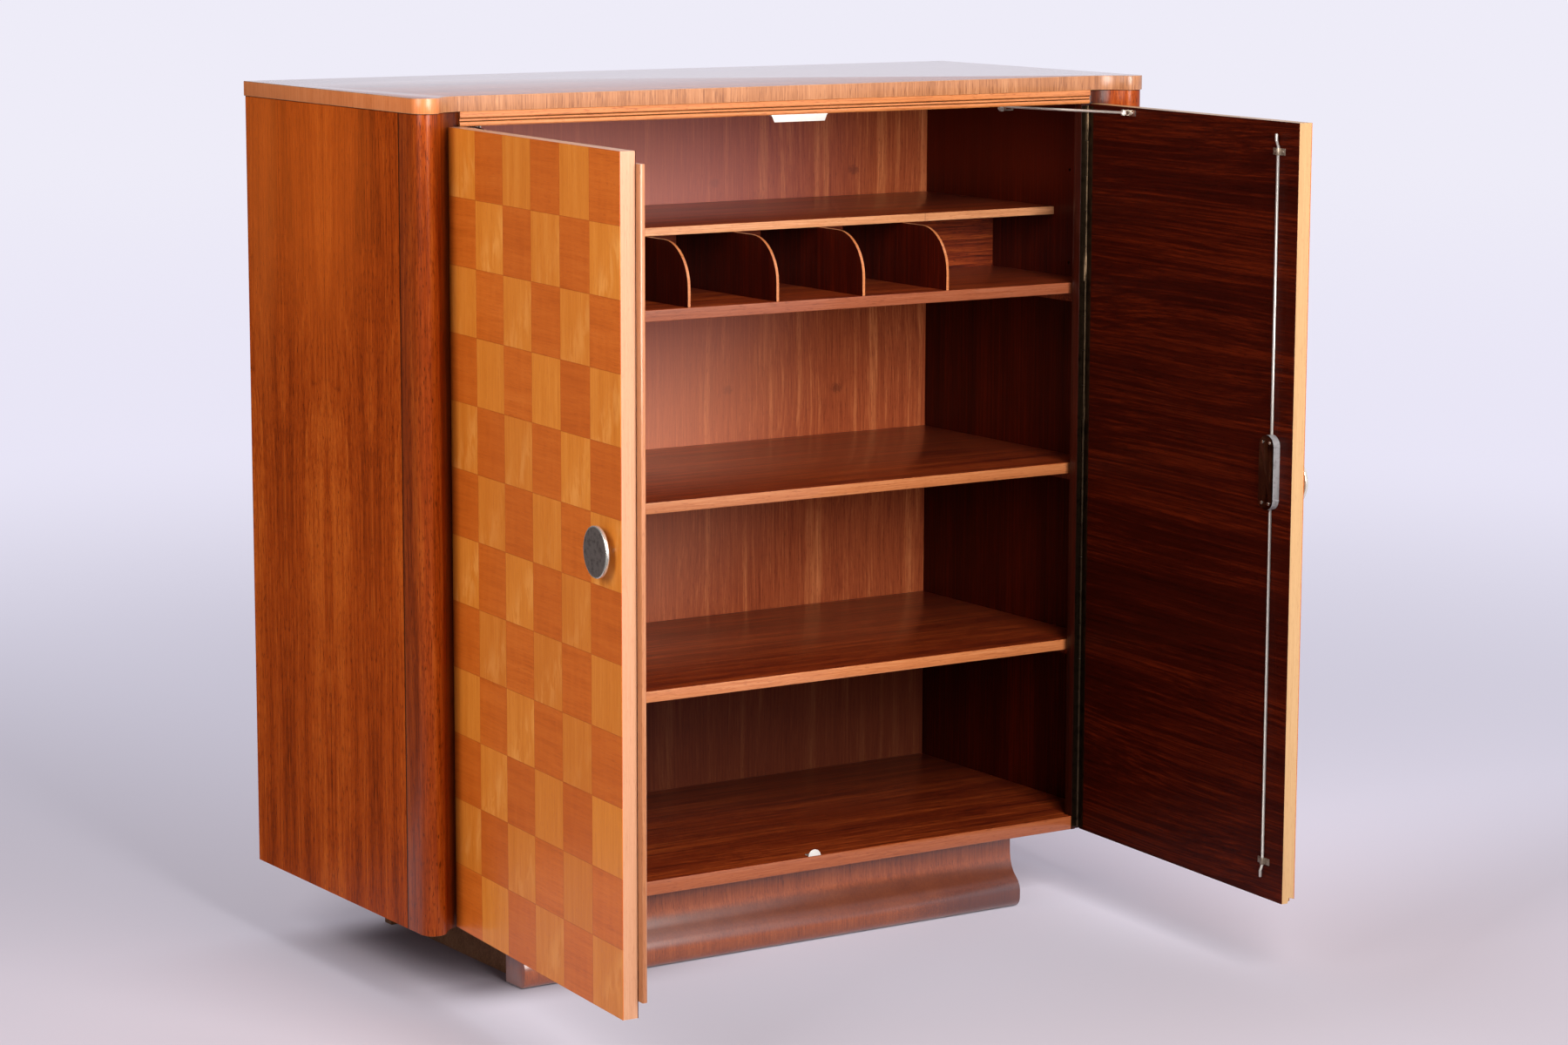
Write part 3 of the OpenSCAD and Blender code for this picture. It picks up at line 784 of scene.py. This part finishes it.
PLINTH = Timber("plinth_stain", srgb(92, 36, 12), srgb(142, 66, 24), srgb(172, 92, 44), stripe=0.03,
                streak=0.003, length=0.2, broad=0.6, fine=0.7, fibres=0.8, pores=0.4, roughness=0.36,
                coat=1.0, coat_roughness=0.3, spots=TOE_WEAR_AND_PAINTED_SHADE)
RAW_FRAME = RAW.tinted("plinth_frame", 0.45, 0.4, 0.4, axis=Axis.X)
LIGHT_LEAF = Timber("light_leaf", srgb(192, 104, 22), srgb(216, 129, 42), srgb(234, 156, 68),
                    stripe=0.016, streak=0.003, length=0.2, broad=0.5, fine=0.4, fibres=0.5, pores=0.2,
                    roughness=0.42, specular=0.2, coat=0.22, coat_roughness=0.2)
DARK_LEAF = replace(LIGHT_LEAF, name="dark_leaf", dark=srgb(166, 74, 12), middle=srgb(202, 102, 28),
                    light=srgb(218, 122, 44), axis=Axis.X, curl=0.3, curl_size=(0.05, 0.012))
BRONZE = Metal("bronze_hinge", srgb(72, 58, 44), srgb(28, 20, 14), roughness=0.34, patch_share=0.8)
DARK_BRONZE = Metal("bronze_guide", srgb(134, 120, 106), srgb(60, 48, 38), roughness=0.4, patch_size=0.006,
                    patch_share=0.7, metallic=0.7)
RIM = Metal("polished_rim", srgb(222, 218, 208), srgb(170, 164, 152), roughness=0.24, patch_share=0.3,
            metallic=0.75)
BRUSHED = Metal("brushed_face", srgb(136, 126, 120), srgb(64, 56, 52), roughness=0.38, scratches=0.3,
                patch_size=0.008, patch_share=0.7, metallic=0.65)
NICKEL = Metal("nickel", srgb(204, 198, 188), srgb(150, 142, 130), roughness=0.28, patch_share=0.35)
ROD = Metal("drawn_rod", srgb(196, 190, 184), srgb(150, 144, 138), roughness=0.4, scratches=0.05,
            patch_share=0.3, metallic=0.7)
STAY = replace(ROD, name="stay_rod", colour=srgb(222, 216, 208), metallic=0.45)
SATIN = Metal("satin_case", srgb(160, 158, 160), srgb(96, 90, 88), roughness=0.4, patch_size=0.006,
              patch_share=0.6, metallic=0.45)
KEEPER = Metal("bright_keeper", srgb(225, 220, 212), srgb(190, 180, 168), roughness=0.5, patch_share=0.3,
               metallic=0.3)
COVER = Metal("black_cover", srgb(72, 58, 48), srgb(40, 30, 24), roughness=0.16, scratches=0.05,
              patch_share=0.6)


# Modelling by operators

Painter = Callable[[Vector, Vector], int]

# How far a face's normal has to reach along a direction for the face to count as facing that way
SQUARE_ON = 0.9
TURNED_TO = 0.3

# Points within this many metres are one point, faces within these degrees are one face, and edges
# sharper than these are eased
WELD = 1e-6
FLAT_DEGREES = 0.4
EASED_DEGREES = 40.0


def body_of(node: str) -> str:
    """The body that a CAD node rides on."""
    return frame["nodes"][node]["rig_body"]


def choose_only(piece: bpy.types.Object) -> None:
    """Makes one object the only one that is selected and active.

    Args:
        piece: The object.
    """
    bpy.ops.object.select_all(action="DESELECT")
    piece.select_set(True)
    bpy.context.view_layer.objects.active = piece


@contextmanager
def editing(piece: bpy.types.Object, picked: bool = True) -> Iterator[None]:
    """Holds a piece in edit mode.

    Args:
        piece: The mesh object to edit.
        picked: True to start with all of it selected, False with nothing.

    Yields:
        Nothing, while the piece is in edit mode.
    """
    choose_only(piece)
    bpy.ops.object.mode_set(mode="EDIT")
    bpy.ops.mesh.select_all(action="SELECT" if picked else "DESELECT")
    try:
        yield
    finally:
        bpy.ops.object.mode_set(mode="OBJECT")


def add_modifier(piece: bpy.types.Object, kind: str, **settings: object) -> None:
    """Adds a modifier and applies it.

    Args:
        piece: The object to change.
        kind: The modifier's type.
        **settings: Its properties.
    """
    choose_only(piece)
    made = piece.modifiers.new(kind.lower(), kind)
    for key, value in settings.items():
        setattr(made, key, value)
    bpy.ops.object.modifier_apply(modifier=made.name)


def ease_edges(piece: bpy.types.Object, width: float, segments: int = 2, arris: int = -1) -> None:
    """Rounds a piece's sharp edges to a width; arris is their material, -1 for that of their faces."""
    add_modifier(piece, "BEVEL", width=width, segments=segments, limit_method="ANGLE",
                 angle_limit=math.radians(EASED_DEGREES), material=arris, use_clamp_overlap=True)


def smooth(piece: bpy.types.Object, degrees: float = 32.0) -> None:
    """Shades a piece smoothly, except over edges sharper than the given angle."""
    choose_only(piece)
    bpy.ops.object.shade_smooth_by_angle(angle=math.radians(degrees))


def copied(model: bpy.types.Object, name: str) -> bpy.types.Object:
    """Copies an object with a mesh of its own.

    Args:
        model: The object to copy.
        name: The copy's name.

    Returns:
        The copy, at the origin.
    """
    piece = bpy.data.objects.new(name, model.data.copy())
    bpy.context.scene.collection.objects.link(piece)
    return piece


def cylinder(radius: float, depth: float, vertices: int, centre: Vector = Vector(),
             turn: Sequence[float] = (math.pi / 2, 0, 0)) -> bpy.types.Object:
    """Adds a cylinder, along Y unless it is turned another way.

    Args:
        radius: Its radius.
        depth: Its length.
        vertices: The steps round it.
        centre: Its middle.
        turn: Its turn from upright.

    Returns:
        The cylinder, with its place in its mesh.
    """
    bpy.ops.object.select_all(action="DESELECT")
    bpy.ops.mesh.primitive_cylinder_add(vertices=vertices, radius=radius, depth=depth, location=centre,
                                        rotation=turn)
    bpy.ops.object.transform_apply(location=True, rotation=True, scale=True)
    return bpy.context.object


def dress(piece: bpy.types.Object, slot: str, *materials: bpy.types.Material) -> None:
    """Gives a piece its materials.

    Args:
        piece: A new piece or a CAD node.
        slot: The record's material slot; not used.
        *materials: The materials, in the order of the faces' numbers.
    """
    piece.data.materials.clear()
    for material in materials:
        piece.data.materials.append(material)


def finished(node: str, slot: str, *materials: bpy.types.Material, ease: float = 0.0,
             painter: Optional[Painter] = None, arris: int = -1) -> bpy.types.Object:
    """Copies a CAD node, paints its faces and eases its edges.

    Args:
        node: The CAD node that the piece stands for.
        slot: The record's material slot.
        *materials: The piece's materials.
        ease: The width of the eased edge in metres, 0 for none.
        painter: Gives a face's material number from its normal and its middle.
        arris: The material's number for the eased edges, -1 for that of the faces beside them.

    Returns:
        The finished piece, riding on the node's body.
    """
    piece = copied(frame["nodes"][node], node + "_finished")
    with editing(piece):
        bpy.ops.mesh.remove_doubles(threshold=WELD)
        bpy.ops.mesh.dissolve_limited(angle_limit=math.radians(FLAT_DEGREES))
    dress(piece, slot, *materials)
    if painter:
        for face in piece.data.polygons:
            face.material_index = painter(face.normal, face.center)
    if ease:
        ease_edges(piece, ease, arris=arris)
    smooth(piece)
    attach(piece, body_of(node))
    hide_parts(node)
    return piece


def carve(piece: bpy.types.Object, bit: bpy.types.Object, lining: int = 0) -> None:
    """Takes the shape of a bit out of a piece and removes the bit.

    Args:
        piece: The piece to cut.
        bit: The cutting shape.
        lining: The number of the material of the cut's walls.
    """
    for face in bit.data.polygons:
        face.material_index = lining
    add_modifier(piece, "BOOLEAN", object=bit, operation="DIFFERENCE", solver="EXACT")
    bpy.ops.mesh.customdata_custom_splitnormals_clear()
    smooth(piece)
    bpy.data.objects.remove(bit)


def door_turn(side: Side) -> Turn:
    """Reads from a door's joint the turn that closes the drawn door.

    Args:
        side: The door's side.

    Returns:
        The turn about the hinge.
    """
    joint = next(each for each in frame["joints"] if each["name"] == side.word + "_door_hinge")
    shut = math.radians(joint["range_deg"][1]) * joint["axis"][2]
    return Turn(shut, (joint["pos_m"][0], joint["pos_m"][1]))


@dataclass
class Carcass:
    """Top, sides, posts, shelves and back."""

    ease: float = 0.0008
    shelf_ease: float = 0.0012
    top_wear: float = 0.12
    post_wear: float = 0.5
    jamb: float = 0.51
    jamb_head: float = 1.1636
    holes: tuple[Vector, ...] = (Vector((0.5515, -0.115, 0.9237)), Vector((0.5515, -0.115, 1.0586)))
    hole_radius: float = 0.0025
    hole_depth: float = 0.020
    hole_steps: int = 24
    nail_radius: float = 0.0028
    nail_height: float = 0.0012
    nail_ease: float = 0.0003
    nail_offset: float = 0.0003
    nail_inset: float = 0.008
    nail_steps: int = 20
    nail_spaces: int = 8

    def top(self) -> None:
        """The top board with its figured face and banded edge."""
        finished("top_board", "figured_top", TOP_EDGE.material(), FIGURED_TOP.material(),
                 TOP_EDGE.worn(self.top_wear).material(), ease=self.ease, arris=2,
                 painter=lambda normal, middle: int(normal.z > SQUARE_ON))

    def walls(self) -> None:
        """The side panels, veneered outside and mahogany inside, and the corner posts."""
        outside, inside, post, jamb = (timber.material() for timber in (WALNUT, DARK_WALL, POST, JAMB))
        for side in Side:
            panel = finished(side.word + "_side", "walnut_veneer", outside, inside,
                             painter=lambda normal, middle: int(normal.x * side.value < -SQUARE_ON))
            if side is Side.RIGHT:
                self.bore(panel, jamb)
            upright = finished(side.word + "_post", "walnut_veneer", post, jamb,
                               POST.worn(self.post_wear).material(), ease=self.ease, arris=2)
            with editing(upright):
                bpy.ops.mesh.bisect(plane_co=(0, 0, self.jamb_head), plane_no=(0, 0, 1))
            for face in upright.data.polygons:
                if face.center.z > self.jamb_head:
                    face.material_index = 0
                elif abs(face.center.x) < self.jamb:
                    face.material_index = 1

    def bore(self, panel: bpy.types.Object, lining: bpy.types.Material) -> None:
        """Bores the peg holes.

        Args:
            panel: The side panel.
            lining: The material of the holes' walls.
        """
        panel.data.materials.append(lining)
        for hole in self.holes:
            bit = cylinder(self.hole_radius, self.hole_depth, self.hole_steps, hole, (0, math.pi / 2, 0))
            carve(panel, bit, len(panel.data.materials) - 1)

    def boards(self) -> None:
        """The shelves, with their light front edges, and the boards round them."""
        inside, edge, wall = MAHOGANY.material(), PALE_EDGE.material(), DARK_WALL.material()
        for node, front in FRONTS_WITH_PAINTED_LIGHT.items():
            slot = "pale_edge" if node == "bottom_board" else "mahogany_inside"
            finished(node, slot, inside, front.material(), ease=self.shelf_ease,
                     painter=lambda normal, middle: int(normal.y < -TURNED_TO))
        for node in ("top_panel", "shelf_cleats"):
            finished(node, "mahogany_inside", inside)
        finished("pigeonhole_back", "striped_back", inside)
        finished("back_panel", "striped_back", STRIPED_BACK.material(), RAW.material(),
                 painter=lambda normal, middle: int(normal.y > SQUARE_ON))
        finished("frieze", "pale_edge", REEDED.material())
        finished("pigeonhole_dividers", "mahogany_inside", wall, edge,
                 painter=lambda normal, middle: int(abs(normal.x) < TURNED_TO))

    def nails(self) -> None:
        """The round nail heads along the rim of the back, modelled once and copied."""
        model = cylinder(self.nail_radius, self.nail_height, self.nail_steps)
        ease_edges(model, self.nail_ease)
        smooth(model)
        steel = NICKEL.material()
        low, high = (Vector(corner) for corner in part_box("back_panel"))
        inset = Vector((self.nail_inset, 0, self.nail_inset))
        low, high = low + inset, high - inset
        steps = [step / self.nail_spaces for step in range(self.nail_spaces + 1)]
        across = [low.x + (high.x - low.x) * step for step in steps]
        upward = [low.z + (high.z - low.z) * step for step in steps[1:-1]]
        places = [(x, z) for x in across for z in (low.z, high.z)]
        places += [(x, z) for z in upward for x in (low.x, high.x)]
        for number, (x, z) in enumerate(places):
            nail = copied(model, f"back_nail_{number:02d}")
            nail.data.transform(Matrix.Translation((x, high.y + self.nail_offset, z)))
            dress(nail, "nickel", steel)
            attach(nail, body_of("back_panel"))
        bpy.data.objects.remove(model)

    def build(self) -> None:
        """Builds all of the carcass."""
        self.top()
        self.walls()
        self.boards()
        self.nails()


@dataclass
class Plinth:
    """The moulded plinth front and the frame behind it."""

    ease: float = 0.001

    def build(self) -> None:
        """Builds the plinth."""
        finished("plinth_front", "plinth_stain", PLINTH.material(), ease=self.ease)
        finished("plinth_frame", "plinth_stain", RAW_FRAME.material(), ease=self.ease)


@dataclass
class Door:
    """One door with its veneers, lipping, hinge and knob. Sizes are metres, of the closed door."""

    side: Side
    hinge_edge: float = 0.4988
    free_edge: float = 0.0018
    foot: float = 0.1095
    head: float = 1.161
    front: float = -0.2425
    splinter: Triple = (0.020, 0.021, 0.010)
    splinter_turn: Triple = (0.28, 0.12, 0.10)
    strip_ease: float = 0.0005
    columns: int = 6
    rows: int = 12
    turn: Turn = field(init=False)

    def __post_init__(self) -> None:
        """Reads how the door stands open."""
        self.turn = door_turn(self.side)

    def face(self) -> bpy.types.Object:
        """Lays the chequered outer veneer.

        Returns:
            The finished veneer.
        """
        cell = ((self.hinge_edge - self.free_edge) / self.columns, (self.head - self.foot) / self.rows)
        chequer = Chequer(self.side.word + "_chequer", LIGHT_LEAF, DARK_LEAF,
                          (self.side.value * self.hinge_edge, self.head), cell, -self.side.value)
        return finished(self.side.word + "_door_face", "chequered_veneer", chequer.material(self.turn))

    def chip(self, piece: bpy.types.Object) -> None:
        """Breaks the splinter from the free bottom corner that the picture shows.

        Args:
            piece: The veneer or the lipping of the door.
        """
        corner = self.turn.drawn(Vector((self.side.value * self.free_edge, self.front, self.foot)))
        tilt, roll, swing = self.splinter_turn
        bpy.ops.object.select_all(action="DESELECT")
        bpy.ops.mesh.primitive_cube_add(size=1.0, location=corner, scale=self.splinter,
                                        rotation=(tilt, roll, swing - self.turn.angle))
        carve(piece, bpy.context.object)

    def metalwork(self) -> None:
        """The hinge, the knob's stem and the stay."""
        bronze, nickel = BRONZE.material(), NICKEL.material()
        for leaf in ("_hinge_frame_leaf", "_hinge_door_leaf"):
            finished(self.side.word + leaf, "bronze_hinge", bronze)
        for part in ("_hinge_pin", "_knob_stem", "_stay_bracket", "_stay_staple"):
            finished(self.side.word + part, "nickel", nickel)
        finished(self.side.word + "_stay_rod", "nickel", STAY.material())

    def build(self) -> None:
        """Builds the door."""
        word = self.side.word
        face = self.face()
        finished(word + "_door_lining", "door_lining", LINING.material(self.turn))
        lipping = LIPPING if self.side is Side.LEFT else YELLOW_LIPPING
        ring = finished(word + "_door_lipping", "light_lipping", lipping.material(self.turn))
        if self.side is Side.RIGHT:
            self.chip(face)
            self.chip(ring)
        finished(word + "_door_core", "core_board", CORE.material(self.turn))
        self.metalwork()
        if self.side is Side.LEFT:
            finished("closing_strip", "light_lipping", CLOSING_STRIP.material(self.turn),
                     ease=self.strip_ease)


@dataclass
class Knobs:
    """The two knob discs: a brushed face sunk a little inside a polished rim, modelled once."""

    rim: float = 0.0014
    dish: float = 0.0002
    dish_edge: float = 0.0004
    ease: float = 0.0014
    ease_steps: int = 4
    steps: int = 96

    def disc(self, radius: float, depth: float) -> bpy.types.Object:
        """Models one disc about the origin, with its face to the front of the closed door.

        Args:
            radius: Its radius.
            depth: Its thickness.

        Returns:
            The disc, with its materials.
        """
        disc = cylinder(radius, depth, self.steps)
        with editing(disc, False):
            bpy.ops.mesh.select_mode(type="FACE")
        disc.data.polygons.foreach_set("select", [face.normal.y < -SQUARE_ON for face in disc.data.polygons])
        bpy.ops.object.mode_set(mode="EDIT")
        bpy.ops.mesh.inset(thickness=self.rim)
        bpy.ops.transform.translate(value=(0, self.dish, 0))
        bpy.ops.mesh.inset(thickness=self.dish_edge)
        bpy.ops.object.mode_set(mode="OBJECT")
        for material in (RIM.material(), BRUSHED.material()):
            disc.data.materials.append(material)
        for face in disc.data.polygons:
            face.material_index = int(face.select)
        ease_edges(disc, self.ease, self.ease_steps)
        smooth(disc)
        return disc

    def build(self) -> None:
        """Models the disc and copies it to both doors."""
        model = None
        for side in Side:
            node, turn = side.word + "_knob", door_turn(side)
            points = [turn.closed(vertex.co) for vertex in frame["nodes"][node].data.vertices]
            low, high = (Vector([pick(point[axis] for point in points) for axis in range(3)])
                         for pick in (min, max))
            model = model or self.disc((high.x - low.x) / 2, high.y - low.y)
            piece = copied(model, node + "_finished")
            piece.data.transform(Matrix.Translation((low + high) / 2 - Vector(turn.location)))
            piece.data.transform(Matrix.Rotation(-turn.angle, 4, "Z"))
            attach(piece, body_of(node))
            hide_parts(node)
        bpy.data.objects.remove(model)


@dataclass
class RodLock:
    """The rod lock on the inside of the right door."""

    ease: float = 0.0002

    def build(self) -> None:
        """Builds the lock."""
        nickel, rod, guide = NICKEL.material(), ROD.material(), DARK_BRONZE.material()
        for node in ("lock_pinion", "lock_screws"):
            finished(node, "nickel", nickel)
        finished("lock_case", "nickel", SATIN.material())
        for node in ("upper_rod", "lower_rod"):
            finished(node, "nickel", rod)
        for node in ("upper_rod_guide", "lower_rod_guide"):
            finished(node, "nickel", guide, ease=self.ease)
        for node in ("top_keeper", "bottom_keeper"):
            finished(node, "nickel", KEEPER.material(), ease=self.ease)
        finished("lock_cover", "black_cover", COVER.material(), ease=self.ease)


@dataclass(frozen=True)
class Softbox:
    """A rectangular soft lamp. Metres and watts."""

    name: str
    place: Triple
    aim: Triple
    size: tuple[float, float]
    power: float
    tint: Triple

    def hang(self) -> None:
        """Hangs the lamp, turned to its aim and out of the camera's sight."""
        lamp = bpy.data.lights.new(self.name, "AREA")
        lamp.shape = "RECTANGLE"
        lamp.size, lamp.size_y = self.size
        lamp.energy = self.power
        lamp.color = self.tint
        hung = bpy.data.objects.new(self.name, lamp)
        bpy.context.scene.collection.objects.link(hung)
        hung.location = self.place
        way = Vector(self.aim) - Vector(self.place)
        hung.rotation_euler = way.to_track_quat("-Z", "Y").to_euler()
        hung.visible_camera = False


@dataclass
class Studio:
    """A pale floor, soft lights and the camera of the reference picture.

    Sizes and fades are metres and angles are degrees. The world's fades are shares of a direction.
    """

    eye: Triple = (-2.98156, -4.77379, 1.48836)
    yaw: float = 33.1346
    pitch: float = -9.2320
    roll: float = 0.1549
    focal_pixels: float = 4621.43
    image_width: float = 1800.0
    sensor: float = 36.0
    clip: Span = (0.05, 200.0)
    floor_size: float = 60.0
    backdrop: Colour = srgb(238, 236, 248)
    middle_ground: Colour = srgb(232, 229, 246)
    floor_colour: Colour = srgb(240, 237, 253)
    # The next two colours are painted: painted shade that greys the front floor, and a painted shadow under
    # the cabinet's left half.
    floor_front: Colour = srgb(178, 170, 178)
    floor_under: Colour = srgb(78, 66, 72)
    floor_glow: Colour = srgb(200, 191, 201)
    dim: Colour = (0.035, 0.034, 0.038, 1.0)
    fill: Colour = (0.95, 0.95, 1.0, 1.0)
    fill_strength: Span = (0.18, 0.90)
    under_share: float = 0.8
    glow_share: float = 0.12
    # These spans place the painted shade: the floor is lighter behind the cabinet and to its right.
    clear_behind: Span = (-0.9, 0.1)
    clear_leftwards: Span = (-1.2, 0.2)
    clear_left: float = 0.25
    clear_rightwards: Span = (0.5, 1.6)
    clear_right: float = 0.5
    # These spans place the painted shadow under the cabinet.
    under_left: Span = (0.42, 0.60)
    under_right: Span = (-0.35, 0.0)
    under_deep: Span = (0.14, 0.28)
    distance: Span = (3.0, 16.0)
    floor_end: Span = (0.6, 5.0)
    mirror_end: Span = (0.6, 2.0)
    mirror_right: Span = (0.2, 0.6)
    window_front: Span = (-0.6, -0.4)
    window_back: Span = (0.3, 0.6)
    dark_away: Span = (1.0, 1.9)
    dark_front: Span = (0.7, 1.3)
    dark_left: Span = (0.5, 0.7)
    fill_side: Span = (-0.6, 0.8)
    mirror_side: Span = (0.15, 0.5)
    softboxes: tuple[Softbox, ...] = (
        Softbox("front_softbox", (-0.30, -2.6, 1.75), (0, 0, 1.1), (1.2, 1.7), 100, (1.0, 0.97, 0.94)),
        Softbox("left_softbox", (-3.0, -1.2, 2.10), (-0.5, -0.3, 1.0), (1.8, 2.1), 70, (1.0, 0.97, 0.95)))

    def camera(self) -> None:
        """Places the camera."""
        lens = bpy.data.cameras.new("camera")
        lens.sensor_fit = "HORIZONTAL"
        lens.sensor_width = self.sensor
        lens.lens = self.focal_pixels * self.sensor / self.image_width
        lens.clip_start, lens.clip_end = self.clip
        eye = bpy.data.objects.new("camera", lens)
        bpy.context.scene.collection.objects.link(eye)
        eye.matrix_world = (Matrix.Translation(self.eye) @ Matrix.Rotation(math.radians(-self.yaw), 4, "Z")
                            @ Matrix.Rotation(math.radians(90 + self.pitch), 4, "X")
                            @ Matrix.Rotation(math.radians(self.roll), 4, "Z"))
        bpy.context.scene.camera = eye

    def lit_floor(self, graph: Graph, x: Value, y: Value, seen: Value) -> Value:
        """The near floor, with painted shade that greys it in front and a painted shadow under the cabinet's
        left half.

        Args:
            graph: The floor's graph.
            x: The place across the room.
            y: The place into the room.
            seen: 1 where the camera looks at the floor itself.

        Returns:
            The shader.
        """
        # behind and clear lift the floor out of the painted shade that greys its front.
        behind = y.ramp(*self.clear_behind) * x.ramp(*self.clear_leftwards, self.clear_left, 1.0)
        clear = behind.most(x.ramp(*self.clear_rightwards) * self.clear_right)
        # A painted shadow under the cabinet's left half.
        under = ((x * -1).ramp(*self.under_left, 1.0, 0.0) * x.ramp(*self.under_right, 1.0, 0.0)
                 * y.absolute().ramp(*self.under_deep, 1.0, 0.0))
        open_floor = graph.blend(clear, graph.matt(self.floor_front), graph.matt(self.floor_colour))
        lit = graph.blend(under * seen * self.under_share, open_floor, graph.matt(self.floor_under))
        return graph.blend(seen * (1 - under) * self.glow_share, lit, graph.glow(self.floor_glow))

    def floor(self) -> None:
        """The floor takes light and shadow near the cabinet, adds painted shade and a painted shadow there,
        and fades into the backdrop.

        Polished wood on the cabinet's left mirrors a room that is dark beyond the near floor.
        """
        bpy.ops.object.select_all(action="DESELECT")
        bpy.ops.mesh.primitive_plane_add(size=self.floor_size, location=(0, 0, 0))
        floor = bpy.context.object
        floor.name = "studio_floor"
        graph = Graph("studio_floor")
        x, y, _ = graph.parts(graph.coordinates())
        away = (x * x + y * y) ** 0.5
        seen, mirrored = graph.ray("Is Camera Ray"), graph.ray("Is Glossy Ray")
        right = x.ramp(*self.mirror_right)
        far = graph.blend(away.ramp(*self.distance), graph.glow(self.middle_ground),
                          graph.glow(self.backdrop))
        shown = away.ramp(*self.floor_end) * seen + away.ramp(*self.mirror_end) * right * mirrored
        plain = graph.blend(shown, self.lit_floor(graph, x, y, seen), far)
        window = y.ramp(*self.window_front) * y.ramp(*self.window_back, 1.0, 0.0)
        unlit = away.ramp(*self.dark_away).most((y * -1).ramp(*self.dark_front))
        unlit = unlit.most((x * -1).ramp(*self.dark_left) * (1 - window))
        graph.surface(graph.blend(unlit * (1 - right) * mirrored, plain, graph.glow(self.dim)))
        floor.data.materials.append(graph.material)

    def world(self) -> None:
        """The room's soft fill, the backdrop that the camera sees, and its glow in glossy surfaces."""
        graph = Graph("studio", "worlds")
        x, _, _ = graph.parts(graph.node("ShaderNodeTexCoord", output="Generated"))
        weak, strong = (graph.sky(self.fill, strength) for strength in self.fill_strength)
        fill = graph.blend(x.ramp(*self.fill_side), weak, strong)
        mirror = graph.blend(x.ramp(*self.mirror_side), graph.sky(self.dim), graph.sky(self.backdrop))
        other = graph.blend(graph.ray("Is Glossy Ray"), fill, mirror)
        shader = graph.blend(graph.ray("Is Camera Ray"), other, graph.sky(self.backdrop))
        bpy.context.scene.world = graph.surface(shader, "ShaderNodeOutputWorld")

    def build(self) -> None:
        """Builds the studio."""
        bpy.context.scene.view_settings.view_transform = "Standard"
        self.camera()
        self.floor()
        for softbox in self.softboxes:
            softbox.hang()
        self.world()


def main() -> None:
    """Builds the studio and the cabinet, and reports each piece."""
    logging.basicConfig(level=logging.INFO, format="%(message)s")
    for part in (Studio(), Carcass(), Plinth(), Door(Side.LEFT), Door(Side.RIGHT), Knobs(), RodLock()):
        known = {piece.name for piece in bpy.data.objects}
        part.build()
        for piece in bpy.data.objects:
            if piece.name not in known:
                LOG.info("%s: built %s", type(part).__name__, piece.name)


if __name__ == "__main__":
    main()
